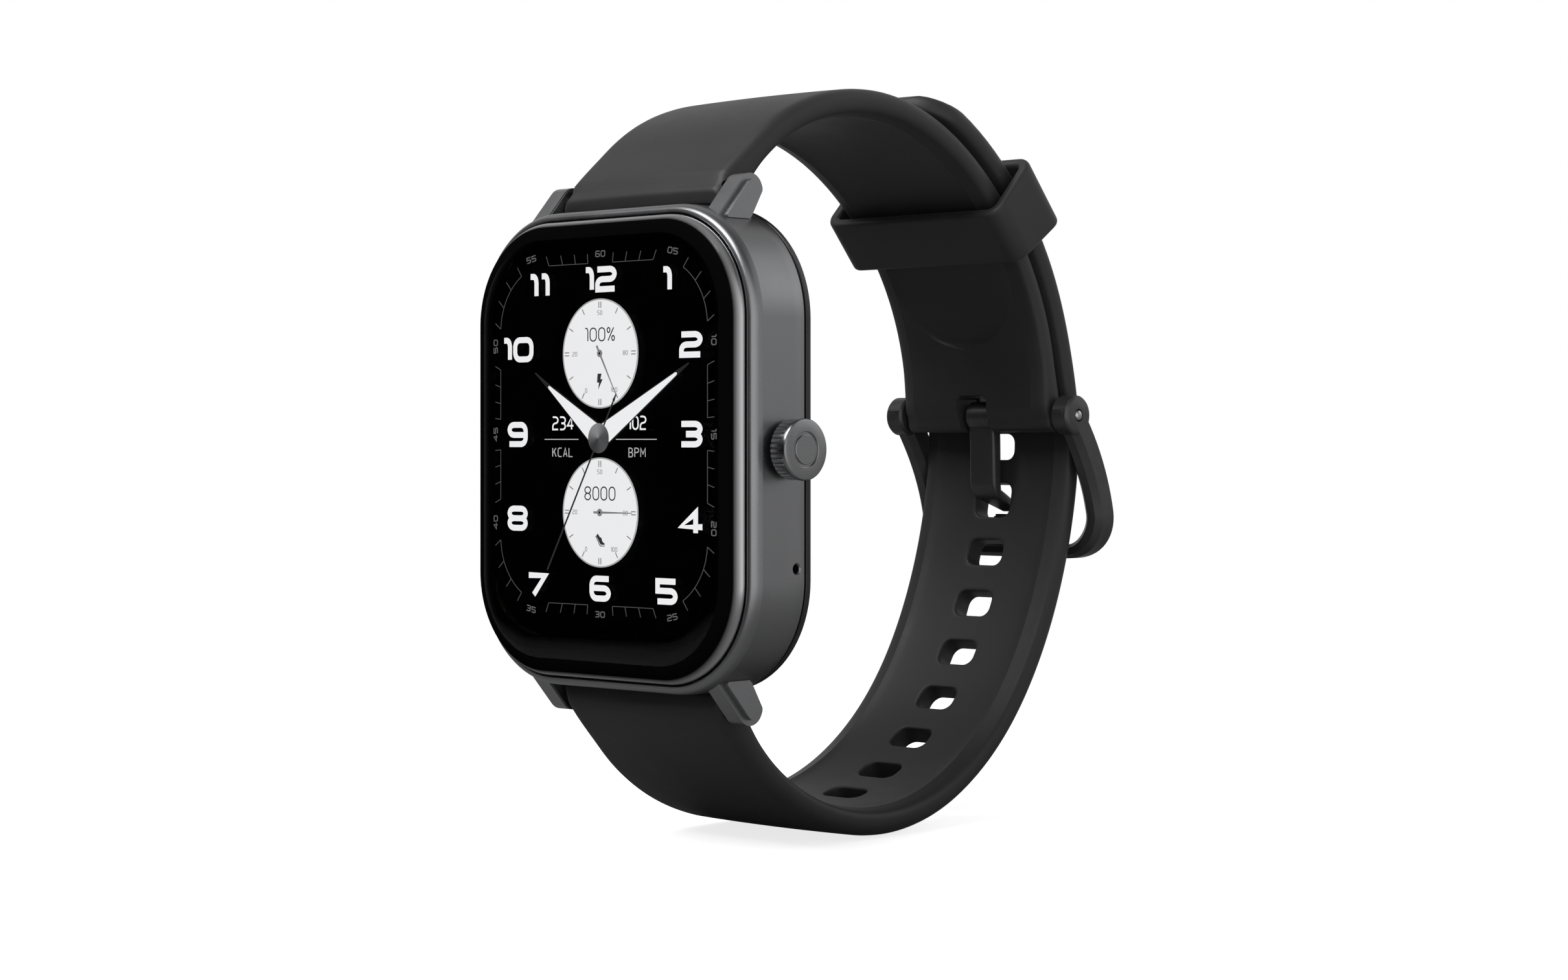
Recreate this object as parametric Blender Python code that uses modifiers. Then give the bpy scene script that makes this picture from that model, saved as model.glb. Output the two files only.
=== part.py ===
"""Smartwatch: an aluminium case with a rounded-square display, on a buckled silicone strap.

Frame: +X towards the crown, +Z towards twelve o'clock, and the display faces -Y. The origin is the
centre of the flat sensor window on the back. Inside this script a place is (x, depth, z) in
millimetres, where depth is measured backwards from the plane of the display.
"""

import math

import bmesh
import bpy
import numpy as np
from mathutils import Matrix, Vector

MM = 0.001
GAP = 0.3  # clearance between touching pieces
BACK_DEPTH = 10.0  # depth of the sensor window's flat back

# Case outline, and the depths at which its pieces start and end
CASE_HALF_WIDTH = 19.0
CASE_HALF_HEIGHT = 22.9
CASE_CORNER = 10.8
WALL = 1.6
RIM_FRONT = 1.15
LEDGE_DEPTH = 2.6
LEDGE_BACK = 3.4
LEDGE_INSET = 2.4
CASE_BACK = 7.9
COVER_FRONT = CASE_BACK + GAP
GLASS_INSET = 1.0
GLASS_FRONT = -0.95

# Lugs and spring bars
LUG_INNER = 11.15
LUG_OUTER = 13.7
BAR_DEPTH = 6.6
BAR_Z = 24.3
LUG_TIP_RADIUS = 1.6
BAR_TUBE_RADIUS = 0.85
BAR_TUBE_BORE = 0.6
BAR_PIN_RADIUS = 0.45
BAR_BORE = 1.1
LEVER_X = 6.4
LEVER_TRAVEL = 1.4

# Crown
CROWN_DEPTH = 5.35
CROWN_RADIUS = 2.85
CROWN_RIDGES = 30
CROWN_BASE = 19.45
CROWN_FACE = 21.55
SHAFT_RADIUS = 0.65

# Strap
STRAP_HALF_WIDTH = 10.9
STRAP_END_HALF_WIDTH = 10.1
STRAP_HALF_THICK = 1.4
TAIL_HALF_THICK = 1.35
LUG_BARREL = 1.8
HOLE_PITCH = 5.95
HOLE_WIDTH = 4.7
HOLE_LENGTH = 2.9
TONGUE_HOLE_LENGTH = 3.85  # stretched by the tongue
TONGUE_HOLE_Z = -5.83
HOLES_BELOW = 7
HOLES_ABOVE = 4
TAIL_OVERLAP = 38.0
BUCKLE_STRAP_POINTS = (
    (BAR_DEPTH, BAR_Z),
    (13.0, 30.2),
    (21.0, 33.6),
    (30.0, 34.1),
    (38.4, 31.6),
    (45.6, 26.7),
    (51.2, 20.1),
    (54.9, 12.2),
    (56.5, 3.5),
)
HOLE_STRAP_POINTS = (
    (BAR_DEPTH, -BAR_Z),
    (11.7, -30.5),
    (18.7, -35.0),
    (26.7, -37.0),
    (34.9, -36.4),
    (42.4, -33.3),
    (48.7, -28.2),
    (53.5, -21.7),
    (57.0, -14.2),
    (59.2, -6.3),
)

# Keeper
KEEPER_AT = 48.3
KEEPER_HALF_LENGTH = 3.5
KEEPER_WALL = 1.2
KEEPER_CLEARANCE = 0.4

# Buckle
PIN_DEPTH = 57.1
PIN_Z = 3.5
PIN_RADIUS = 0.6
BUCKLE_BARREL = 1.8
ARM_X = 11.6
ARM_HALF_WIDTH = 1.15
ARM_HALF_DEPTH = 1.55
BAR_HALF_HEIGHT = 0.75
BAR_HALF_DEPTH = 1.05
BUCKLE_BOTTOM = -11.2
BUCKLE_REACH = 5.6
BUCKLE_CORNER = 4.4
TONGUE_HALF_WIDTH = 1.75

# Vibration motor
MOTOR_X = 11.5
MOTOR_Z = 11.5
MOTOR_RADIUS = 4.0

# Back screws and charging contacts
SCREW_X = 14.07
SCREW_Z = 17.97
CONTACT_Z = -16.2

FINISHES = {
    "anodised": ((0.12, 0.12, 0.125), 0.38, 0.9),
    "black_metal": ((0.02, 0.02, 0.021), 0.35, 0.9),
    "steel": ((0.55, 0.55, 0.56), 0.25, 1.0),
    "silicone": ((0.012, 0.012, 0.012), 0.6, 0.0),
    "glass": ((0.01, 0.01, 0.012), 0.03, 0.0),
    "display": ((0.003, 0.003, 0.003), 0.2, 0.0),
    "black_plastic": ((0.015, 0.015, 0.016), 0.4, 0.0),
    "board": ((0.01, 0.09, 0.03), 0.5, 0.0),
    "shield": ((0.6, 0.6, 0.58), 0.3, 1.0),
    "battery": ((0.35, 0.36, 0.38), 0.35, 0.6),
    "gold": ((0.85, 0.6, 0.25), 0.25, 1.0),
    "polyimide": ((0.45, 0.2, 0.03), 0.4, 0.0),
    "sensor_lens": ((0.01, 0.02, 0.015), 0.05, 0.0),
    "led": ((0.15, 0.7, 0.25), 0.3, 0.0),
}


# ---------------------------------------------------------------- helpers


def clear_scene():
    for old in list(bpy.data.objects):
        bpy.data.objects.remove(old, do_unlink=True)


def new_collection(name):
    collection = bpy.data.collections.new(name)
    bpy.context.scene.collection.children.link(collection)
    return collection


def make_material(name):
    colour, roughness, metallic = FINISHES[name]
    material = bpy.data.materials.new(name)
    material.use_nodes = True
    shader = material.node_tree.nodes["Principled BSDF"]
    shader.inputs["Base Color"].default_value = (*colour, 1.0)
    shader.inputs["Roughness"].default_value = roughness
    shader.inputs["Metallic"].default_value = metallic
    return material


def spot(x, depth, z):
    """A place in the watch, from millimetres to metres in the world frame."""
    return Vector((x, depth - BACK_DEPTH, z)) * MM


def add_mesh_object(name, bm, finish):
    """An object from a bmesh. With no finish it is a guide that cuts or joins another piece."""
    bmesh.ops.recalc_face_normals(bm, faces=bm.faces)
    mesh = bpy.data.meshes.new(name)
    bm.to_mesh(mesh)
    bm.free()
    mesh.shade_smooth()
    mesh.set_sharp_from_angle(angle=math.radians(35))
    piece = bpy.data.objects.new(name, mesh)
    if finish is None:
        GUIDES.objects.link(piece)
        piece.hide_render = True
        piece.display_type = "WIRE"
    else:
        PARTS.objects.link(piece)
        mesh.materials.append(MATERIALS[finish])
    return piece


def boolean(piece, guide, operation="DIFFERENCE"):
    modifier = piece.modifiers.new(guide.name, "BOOLEAN")
    modifier.operation = operation
    modifier.solver = "EXACT"
    modifier.object = guide


def block(name, finish, low, high, bevel=0.0):
    """A box between two corners, each (x, depth, z)."""
    low, high = spot(*low), spot(*high)
    bm = bmesh.new()
    size = Matrix.Diagonal((*(high - low), 1.0))
    bmesh.ops.create_cube(bm, size=1.0, matrix=Matrix.Translation((low + high) / 2) @ size)
    piece = add_mesh_object(name, bm, finish)
    if bevel:
        modifier = piece.modifiers.new("rounded edges", "BEVEL")
        modifier.width = bevel * MM
        modifier.segments = 1
    return piece


def turned(name, finish, centre, axis, profile, segments=32):
    """A turned piece about a line through centre along X or Y.

    The profile holds (radius, height) from its top down. It starts and ends on the axis for a solid
    piece, and is closed on itself for a ring.
    """
    solid = profile[0][0] == 0.0
    bm = bmesh.new()
    points = [bm.verts.new((radius * MM, 0.0, height * MM)) for radius, height in profile]
    for first, second in zip(points, points[1:]):
        bm.edges.new((first, second))
    if not solid:
        bm.edges.new((points[-1], points[0]))
    mesh = bpy.data.meshes.new(name)
    bm.to_mesh(mesh)
    bm.free()
    piece = bpy.data.objects.new(name, mesh)
    modifier = piece.modifiers.new("turn", "SCREW")
    modifier.steps = segments
    modifier.render_steps = segments
    modifier.use_merge_vertices = True
    modifier.merge_threshold = 0.00001
    modifier.use_smooth_shade = False
    piece.location = spot(*centre)
    piece.rotation_euler = (0.0, math.pi / 2, 0.0) if axis == "X" else (-math.pi / 2, 0.0, 0.0)
    if finish is None:
        GUIDES.objects.link(piece)
        piece.hide_render = True
        piece.display_type = "WIRE"
    else:
        PARTS.objects.link(piece)
        mesh.materials.append(MATERIALS[finish])
    return piece


def rod(name, finish, start, length, radius, axis="X", segments=24):
    """A plain cylinder that starts at a place and runs along +X or +Y."""
    profile = ((0.0, length), (radius, length), (radius, 0.0), (0.0, 0.0))
    return turned(name, finish, start, axis, profile, segments)


def sleeve(name, finish, start, length, bore, radius, axis="X", segments=24):
    """A tube or washer that starts at a place and runs along +X or +Y."""
    profile = ((bore, length), (radius, length), (radius, 0.0), (bore, 0.0))
    return turned(name, finish, start, axis, profile, segments)


def loft(name, finish, rings, wrap=False, origin=None):
    """A skin through rings of places. The end rings are capped, or joined to each other by wrap."""
    base = Vector((0.0, 0.0, 0.0)) if origin is None else spot(*origin)
    bm = bmesh.new()
    rows = [[bm.verts.new(spot(*place) - base) for place in ring] for ring in rings]
    count = len(rows[0])
    pairs = list(zip(rows, rows[1:]))
    if wrap:
        pairs.append((rows[-1], rows[0]))
    for first, second in pairs:
        for i in range(count):
            j = (i + 1) % count
            bm.faces.new((first[i], first[j], second[j], second[i]))
    if not wrap:
        bm.faces.new(reversed(rows[0]))
        bm.faces.new(rows[-1])
    piece = add_mesh_object(name, bm, finish)
    piece.location = base
    return piece


def outline(half_width, half_height, corner, depth, centre=(0.0, 0.0), steps=6):
    """A rounded rectangle facing the front, as a ring of places."""
    ring = []
    for quarter in range(4):
        side_x = 1 if quarter in (0, 3) else -1
        side_z = 1 if quarter in (0, 1) else -1
        middle_x = centre[0] + side_x * (half_width - corner)
        middle_z = centre[1] + side_z * (half_height - corner)
        for step in range(steps + 1):
            angle = math.radians(90 * (quarter + step / steps))
            x = middle_x + corner * math.cos(angle)
            z = middle_z + corner * math.sin(angle)
            ring.append((x, depth, z))
    return ring


def case_ring(inset, depth):
    """The case's outline drawn in by an inset, at a depth."""
    return outline(
        CASE_HALF_WIDTH - inset, CASE_HALF_HEIGHT - inset, CASE_CORNER - inset, depth
    )


def rounded_slab(name, finish, half_width, half_height, corner, front, back, centre=(0.0, 0.0)):
    rings = [
        outline(half_width, half_height, corner, depth, centre, 3) for depth in (front, back)
    ]
    return loft(name, finish, rings)


class Route:
    """A natural cubic curve through (depth, z) points, read by the length along it."""

    SAMPLES = 400

    def __init__(self, points):
        knots = np.array(points, dtype=float)
        chord = np.concatenate(([0.0], np.cumsum(np.linalg.norm(np.diff(knots, axis=0), axis=1))))
        gap = np.diff(chord)
        slope = np.diff(knots, axis=0) / gap[:, None]
        count = len(knots)
        system = np.eye(count)
        target = np.zeros((count, 2))
        for i in range(1, count - 1):
            system[i, i - 1 : i + 2] = gap[i - 1], 2 * (gap[i - 1] + gap[i]), gap[i]
            target[i] = 6 * (slope[i] - slope[i - 1])
        bend = np.linalg.solve(system, target)
        at = np.linspace(0.0, chord[-1], self.SAMPLES)
        span = np.clip(np.searchsorted(chord, at, side="right") - 1, 0, count - 2)
        left, right = at - chord[span], chord[span + 1] - at
        width = gap[span][:, None]
        left, right = left[:, None], right[:, None]
        self.places = (
            (bend[span] * right**3 + bend[span + 1] * left**3) / (6 * width)
            + (knots[span] / width - bend[span] * width / 6) * right
            + (knots[span + 1] / width - bend[span + 1] * width / 6) * left
        )
        steps = np.linalg.norm(np.diff(self.places, axis=0), axis=1)
        self.lengths = np.concatenate(([0.0], np.cumsum(steps)))
        self.length = self.lengths[-1]

    def at(self, along):
        """The (depth, z) place at a length along the curve, carried on straight past its ends."""
        inside = min(max(along, 0.0), self.length)
        place = np.array([np.interp(inside, self.lengths, column) for column in self.places.T])
        return place + (along - inside) * self.heading(inside)

    def heading(self, along):
        """The unit tangent there."""
        reach = 0.3
        low = min(max(along - reach, 0.0), self.length - 2 * reach)
        ends = [
            np.array([np.interp(s, self.lengths, column) for column in self.places.T])
            for s in (low, low + 2 * reach)
        ]
        tangent = ends[1] - ends[0]
        return tangent / np.linalg.norm(tangent)

    def place(self, x, along, out, side):
        """The (x, depth, z) place at a distance out from the curve; side is 1 where out is left."""
        tangent = self.heading(along)
        normal = side * np.array((-tangent[1], tangent[0]))
        depth, z = self.at(along) + out * normal
        return (x, depth, z)


def ease(value):
    """0 to 1 with a smooth start and end, held beyond them."""
    value = min(max(value, 0.0), 1.0)
    return value * value * (3 - 2 * value)


# ---------------------------------------------------------------- case and display


def lug(name, side, end):
    """One horn: a flat-sided finger that leans backwards from the case to a round tip."""
    base = CASE_HALF_HEIGHT - 2.0
    tip = [
        (
            BAR_DEPTH + 0.15 + LUG_TIP_RADIUS * math.cos(math.radians(angle)),
            BAR_Z - 0.1 + LUG_TIP_RADIUS * math.sin(math.radians(angle)),
        )
        for angle in range(0, 151, 25)
    ]
    shape = [(CASE_BACK - 0.1, base), *tip, (3.3, base)]
    faces = (side * LUG_INNER, side * LUG_OUTER)
    rings = [[(x, depth, end * z) for depth, z in shape] for x in faces]
    guide = loft(name, None, rings)
    bevel = guide.modifiers.new("soft edges", "BEVEL")
    bevel.width = 0.35 * MM
    bevel.segments = 1
    bevel.angle_limit = math.radians(50)
    return guide


def make_case():
    profile = (
        (0.70, 1.45),
        (0.45, RIM_FRONT),
        (0.15, 1.55),
        (0.0, 2.3),
        (0.0, CASE_BACK),
        (WALL, CASE_BACK),
        (WALL, LEDGE_BACK),
        (LEDGE_INSET, LEDGE_BACK),
        (LEDGE_INSET, LEDGE_DEPTH),
        (0.70, LEDGE_DEPTH),
    )
    case = loft("case_frame", "anodised", [case_ring(*p) for p in profile], wrap=True)
    for end, end_name in ((1, "top"), (-1, "bottom")):
        for side, side_name in ((1, "right"), (-1, "left")):
            boolean(case, lug(f"lug_{end_name}_{side_name}", side, end), "UNION")
            start = (side * SCREW_X, LEDGE_BACK - 0.2, end * SCREW_Z)
            post = rod(f"post_{end_name}_{side_name}", None, start, 4.2, 1.5, "Y", 12)
            boolean(case, post, "UNION")
            tap_start = (start[0], 4.6, start[2])
            boolean(case, rod(f"tap_{end_name}_{side_name}", None, tap_start, 6.0, 0.65, "Y", 12))
        bar_start = (-LUG_INNER - 1.4, BAR_DEPTH, end * BAR_Z)
        length = 2 * (LUG_INNER + 1.4)
        boolean(case, rod(f"bar_holes_{end_name}", None, bar_start, length, 0.6, "X", 16))
        channel_start = (-LUG_INNER + 0.05, BAR_DEPTH, end * BAR_Z)
        channel_length = 2 * LUG_INNER - 0.1
        channel = rod(f"strap_channel_{end_name}", None, channel_start, channel_length, 2.1, "X", 32)
        boolean(case, channel)
    boolean(case, rod("crown_hole", None, (16.0, CROWN_DEPTH, 0.0), 5.0, 1.5, "X", 24))
    boolean(case, rod("microphone_hole", None, (16.0, 6.8, -11.0), 5.0, 0.44, "X", 16))
    for i in range(3):
        z = -15.0 + 3.0 * i
        low, high = (-CASE_HALF_WIDTH - 1, 5.4, z - 0.9), (-CASE_HALF_WIDTH + 3, 6.2, z + 0.9)
        boolean(case, block(f"speaker_slot_{i + 1}", None, low, high, 0.3))
    return case


def make_glass():
    outside = (
        (GLASS_INSET, 1.3),
        (GLASS_INSET, 0.95),
        (1.2, 0.4),
        (1.7, -0.15),
        (2.5, -0.55),
        (3.7, -0.82),
        (5.2, GLASS_FRONT),
    )
    inside = ((4.8, -0.15), (3.4, -0.05), (2.6, 0.25), (2.1, 0.75), (1.9, 1.3))
    loft("cover_glass", "glass", [case_ring(*p) for p in (*inside, *outside)])


def make_display():
    rounded_slab("display_panel", "display", 15.6, 18.9, 7.5, 0.25, 1.25, (0.0, 0.9))
    gasket = ((1.15, 1.65), (1.15, 2.25), (2.1, 2.25), (2.1, 1.65))
    loft("glass_gasket", "silicone", [case_ring(*p) for p in gasket], wrap=True)
    thick = 0.2
    front, back, bottom = 1.6, 2.95, -18.0
    edges = (
        (front, -12.0),
        (front, bottom + 0.3),
        (front + 0.3, bottom),
        (back - thick, bottom),
        (back - thick, -12.5),
        (back, -12.5),
        (back, bottom - thick),
        (front + 0.2, bottom - thick),
        (front - thick, bottom + 0.2),
        (front - thick, -12.0),
    )
    rings = [[(x, depth, z) for depth, z in edges] for x in (-4.0, 4.0)]
    loft("display_flex", "polyimide", rings)


def make_chassis():
    chassis = rounded_slab("chassis", "black_plastic", 16.2, 20.1, 7.8, 1.85, 2.5)
    rails = {
        "left": ((-15.7, -3.9), (-14.7, 10.0)),
        "right": ((5.6, -3.9), (6.4, 15.5)),
        "bottom": ((-15.7, -5.5), (6.4, -4.7)),
        "top": ((-9.0, 16.5), (5.0, 17.3)),
    }
    for side_name, ((x0, z0), (x1, z1)) in rails.items():
        rail = block(f"battery_rail_{side_name}", None, (x0, 2.2, z0), (x1, 5.2, z1))
        boolean(chassis, rail, "UNION")
    boolean(chassis, block("flex_slot", None, (-4.5, 1.0, -18.8), (4.5, 4.0, -17.5)))


# ---------------------------------------------------------------- electronics


def make_electronics():
    rounded_slab("battery", "battery", 9.7, 10.2, 1.5, 3.2, 6.4, (-4.6, 5.9))
    board = rounded_slab("main_board", "board", 12.2, 6.3, 2.0, 3.4, 4.1, (3.4, -12.3))
    boolean(board, rod("board_notch", None, (SCREW_X, 2.0, -SCREW_Z), 4.0, 1.9, "Y", 16))
    rounded_slab("shield_can", "shield", 6.5, 3.8, 0.6, 4.4, 5.7, (0.4, -12.4))
    block("speaker", "black_plastic", (-16.6, 3.6, -15.4), (-9.6, 6.6, -7.0), 0.3)
    block("microphone", "gold", (13.6, 6.2, -12.6), (16.6, 7.4, -9.4), 0.2)
    block("antenna", "gold", (-8.0, 7.75, 14.6), (8.0, 8.0, 17.2))
    disc = rod("sensor_board", "board", (0.0, 7.2, 0.0), 0.6, 7.8, "Y", 32)
    boolean(disc, block("sensor_board_flat", None, (5.6, 6.0, -9.0), (9.0, 9.0, 9.0)))
    block("sensor_led", "led", (-0.8, 8.1, -0.8), (0.8, 8.8, 0.8), 0.1)
    for side, side_name in ((1, "right"), (-1, "left")):
        low, high = (side * 4.2 - 1.1, 8.1, -1.5), (side * 4.2 + 1.1, 8.7, 1.5)
        block(f"photodiode_{side_name}", "black_plastic", low, high, 0.1)
        pad_start = (side * 1.8, 8.75, CONTACT_Z)
        rod(f"charge_contact_{side_name}", "gold", pad_start, 1.0, 1.0, "Y", 16)
        magnet_start = (side * 5.8, 6.9, CONTACT_Z)
        rod(f"charge_magnet_{side_name}", "steel", magnet_start, 1.2, 1.5, "Y", 16)
    sleeve("light_barrier", "black_plastic", (0.0, 8.1, 0.0), 0.8, 1.7, 2.3, "Y", 24)


def make_motor():
    centre = (MOTOR_X, 3.0, MOTOR_Z)
    wall, floor, pin = 0.35, 0.35, 0.35
    turned(
        "motor_can",
        "shield",
        centre,
        "Y",
        (
            (0.0, 2.3),
            (pin, 2.3),
            (pin, floor),
            (MOTOR_RADIUS - wall, floor),
            (MOTOR_RADIUS - wall, 2.7),
            (MOTOR_RADIUS, 2.7),
            (MOTOR_RADIUS, 0.0),
            (0.0, 0.0),
        ),
        20,
    )
    start = (MOTOR_X, 3.7, MOTOR_Z)
    rotor = sleeve("motor_rotor", "steel", start, 1.2, pin + 0.1, 3.35, "Y", 20)
    notch = block(
        "rotor_cut", None, (MOTOR_X - 5, 3.0, MOTOR_Z + 1.0), (MOTOR_X + 5, 6.0, MOTOR_Z + 6)
    )
    boolean(rotor, notch)
    rod("motor_cap", "shield", (MOTOR_X, 5.9, MOTOR_Z), 0.3, MOTOR_RADIUS, "Y", 20)


# ---------------------------------------------------------------- back


def make_back():
    inset_depths = (
        (3.2, 8.5),
        (3.0, COVER_FRONT),
        (1.4, COVER_FRONT),
        (1.35, 8.65),
        (0.7, 8.65),
        (0.65, COVER_FRONT),
        (0.1, COVER_FRONT),
        (0.1, 8.75),
        (0.6, 9.15),
        (2.4, 9.45),
        (5.0, 9.6),
    )
    cover = loft("rear_cover", "black_plastic", [case_ring(*p) for p in inset_depths])
    boss = turned(
        "sensor_boss",
        None,
        (0.0, 9.0, 0.0),
        "Y",
        ((0.0, 0.85), (11.6, 0.85), (12.6, 0.55), (13.2, 0.0), (0.0, 0.0)),
        36,
    )
    boolean(cover, boss, "UNION")
    seat_profile = ((0.0, 5.0), (9.8, 5.0), (9.8, 2.0), (8.3, 2.0), (8.3, 0.0), (0.0, 0.0))
    boolean(cover, turned("window_seat", None, (0.0, 7.0, 0.0), "Y", seat_profile, 32))
    rod("sensor_window", "sensor_lens", (0.0, 9.2, 0.0), BACK_DEPTH - 9.2, 9.5, "Y", 36)
    for side, side_name in ((1, "right"), (-1, "left")):
        start = (side * 1.8, 7.0, CONTACT_Z)
        boolean(cover, rod(f"contact_hole_{side_name}", None, start, 4.0, 1.25, "Y", 12))
    for end, end_name in ((1, "top"), (-1, "bottom")):
        for side, side_name in ((1, "right"), (-1, "left")):
            where = f"{end_name}_{side_name}"
            x, z = side * SCREW_X, end * SCREW_Z
            boolean(cover, rod(f"screw_hole_{where}", None, (x, 7.0, z), 4.0, 0.85, "Y", 12))
            boolean(cover, rod(f"screw_seat_{where}", None, (x, 8.8, z), 3.0, 1.35, "Y", 12))
            screw = turned(
                f"rear_screw_{where}",
                "steel",
                (x, 5.2, z),
                "Y",
                ((0.0, 4.2), (1.1, 4.2), (1.1, 3.85), (0.5, 3.85), (0.5, 0.0), (0.0, 0.0)),
                12,
            )
            slot_low, slot_high = (x - 2.0, 9.2, z - 0.14), (x + 2.0, 9.9, z + 0.14)
            boolean(screw, block(f"screw_slot_{where}", None, slot_low, slot_high))
    gasket = ((0.85, 8.05), (0.85, 8.4), (1.2, 8.4), (1.2, 8.05))
    loft("rear_gasket", "silicone", [case_ring(*p) for p in gasket], wrap=True)


# ---------------------------------------------------------------- crown


def make_crown():
    centre = (0.0, CROWN_DEPTH, 0.0)
    sleeve_profile = (
        (1.1, 18.95),
        (1.35, 18.95),
        (1.35, 17.2),
        (1.75, 17.2),
        (1.75, 16.7),
        (0.8, 16.7),
        (0.8, 17.6),
        (1.1, 17.6),
    )
    turned("crown_tube", "steel", centre, "X", sleeve_profile, 16)
    seal = [
        (0.88 + 0.17 * math.cos(angle), 18.1 + 0.17 * math.sin(angle))
        for angle in (math.radians(-60 * i) for i in range(6))
    ]
    turned("crown_o_ring", "silicone", centre, "X", seal, 16)
    rod("crown_shaft", "steel", (13.9, CROWN_DEPTH, 0.0), 20.5 - 13.9, SHAFT_RADIUS, "X", 16)
    sleeve("crown_clip", "steel", (15.2, CROWN_DEPTH, 0.0), 0.35, 0.8, 1.2, "X", 16)

    def knob_ring(radius, x, ridge=0.0):
        count = 2 * CROWN_RIDGES
        radii = [radius - ridge * (i % 2) for i in range(count)]
        angles = [2 * math.pi * i / count for i in range(count)]
        return [
            (x, CROWN_DEPTH + r * math.cos(a), r * math.sin(a)) for r, a in zip(radii, angles)
        ]

    rings = [
        knob_ring(2.3, CROWN_BASE),
        knob_ring(2.6, CROWN_BASE + 0.15),
        knob_ring(CROWN_RADIUS, CROWN_BASE + 0.3, 0.16),
        knob_ring(CROWN_RADIUS, CROWN_FACE - 0.5, 0.16),
        knob_ring(CROWN_RADIUS - 0.18, CROWN_FACE - 0.35),
        knob_ring(CROWN_RADIUS - 0.25, CROWN_FACE - 0.12),
        knob_ring(CROWN_RADIUS - 0.45, CROWN_FACE),
    ]
    knob = loft("crown_knob", "anodised", rings, origin=centre)
    boolean(knob, rod("knob_bore", None, (CROWN_BASE - 1, CROWN_DEPTH, 0.0), 2.25, 0.85, "X", 20))
    groove = sleeve("knob_groove", None, (CROWN_FACE - 0.12, CROWN_DEPTH, 0.0), 1.0, 1.35, 1.65)
    boolean(knob, groove)
    stem = ((0.0, 13.6), (1.1, 13.6), (1.1, 13.0), (0.45, 13.0), (0.45, 11.6), (0.0, 11.6))
    turned("crown_plunger", "steel", centre, "X", stem, 16)
    switch = block("crown_switch", "black_plastic", (9.0, 3.9, -1.5), (10.9, 6.8, 1.5), 0.15)
    boolean(switch, rod("switch_button", None, (10.5, CROWN_DEPTH, 0.0), 0.65, 0.7, "X", 20), "UNION")
    block("crown_bracket", "steel", (8.2, 3.2, -2.4), (8.7, 7.0, 2.4), 0.1)
    block("crown_encoder", "black_plastic", (13.9, 6.85, -1.3), (16.2, 7.6, 1.3), 0.1)


# ---------------------------------------------------------------- spring bars


def make_spring_bar(end, end_name):
    z = end * BAR_Z
    reach = LUG_INNER + 1.1
    tube_half = 10.3
    tube = sleeve(
        f"{end_name}_bar_tube",
        "steel",
        (-tube_half, BAR_DEPTH, z),
        2 * tube_half,
        BAR_TUBE_BORE,
        BAR_TUBE_RADIUS,
        segments=16,
    )
    slot_low = (LEVER_X - LEVER_TRAVEL - 0.75, BAR_DEPTH, z - 0.5)
    slot_high = (LEVER_X + 0.75, BAR_DEPTH + 3.0, z + 0.5)
    boolean(tube, block(f"{end_name}_lever_slot", None, slot_low, slot_high))
    pin_length = 4.0
    rod(f"{end_name}_bar_pin", "steel", (-reach, BAR_DEPTH, z), pin_length, BAR_PIN_RADIUS, "X", 16)
    start = (LEVER_X - 1.2, BAR_DEPTH, z)
    release = rod(
        f"{end_name}_bar_release", "steel", start, reach - start[0], BAR_PIN_RADIUS, "X", 16
    )
    lever = turned(
        f"{end_name}_lever",
        None,
        (LEVER_X, BAR_DEPTH, z),
        "Y",
        ((0.0, 2.5), (0.5, 2.5), (0.65, 2.2), (0.4, 1.9), (0.35, 0.0), (0.0, 0.0)),
        16,
    )
    boolean(release, lever, "UNION")


# ---------------------------------------------------------------- strap


def strap_section(half_width, inner, outer):
    """Half-width, and thickness each side of the centreline, as (x, out) points."""
    half = (
        (0.5 * half_width, outer),
        (half_width - 0.9, 0.86 * outer),
        (half_width, 0.35 * outer),
        (half_width, -0.3 * inner),
        (half_width - 0.9, -inner),
    )
    return [*half, *((-x, out) for x, out in reversed(half))]


def strap_half_width(along):
    """Full width over the crest by the lugs, then a taper towards the buckle."""
    share = ease((along - 12.0) / 45.0)
    return STRAP_HALF_WIDTH + share * (STRAP_END_HALF_WIDTH - STRAP_HALF_WIDTH)


def barrel_half(along, radius, run=6.0):
    """Half-thickness near a strap's end: a half-round barrel that eases into the flat strap."""
    if along < 0.0:
        return math.sqrt(max(radius**2 - along**2, 0.0))
    return radius + (STRAP_HALF_THICK - radius) * ease(along / run)


def barrel_stations(radius):
    return [-radius * math.cos(math.radians(angle)) for angle in (10, 30, 50, 70)]


def cut_lug_end(strap, end, end_name):
    """The bore for the spring bar, and the pocket for its release lever."""
    start = (-STRAP_HALF_WIDTH - 1, BAR_DEPTH, end * BAR_Z)
    length = 2 * STRAP_HALF_WIDTH + 2
    boolean(strap, rod(f"{end_name}_strap_bore", None, start, length, BAR_BORE, "X", 16))
    low = (LEVER_X - LEVER_TRAVEL - 1.0, BAR_DEPTH, end * BAR_Z - 0.9)
    high = (LEVER_X + 1.0, BAR_DEPTH + 6.0, end * BAR_Z + 0.9)
    boolean(strap, block(f"{end_name}_lever_pocket", None, low, high))


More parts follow.
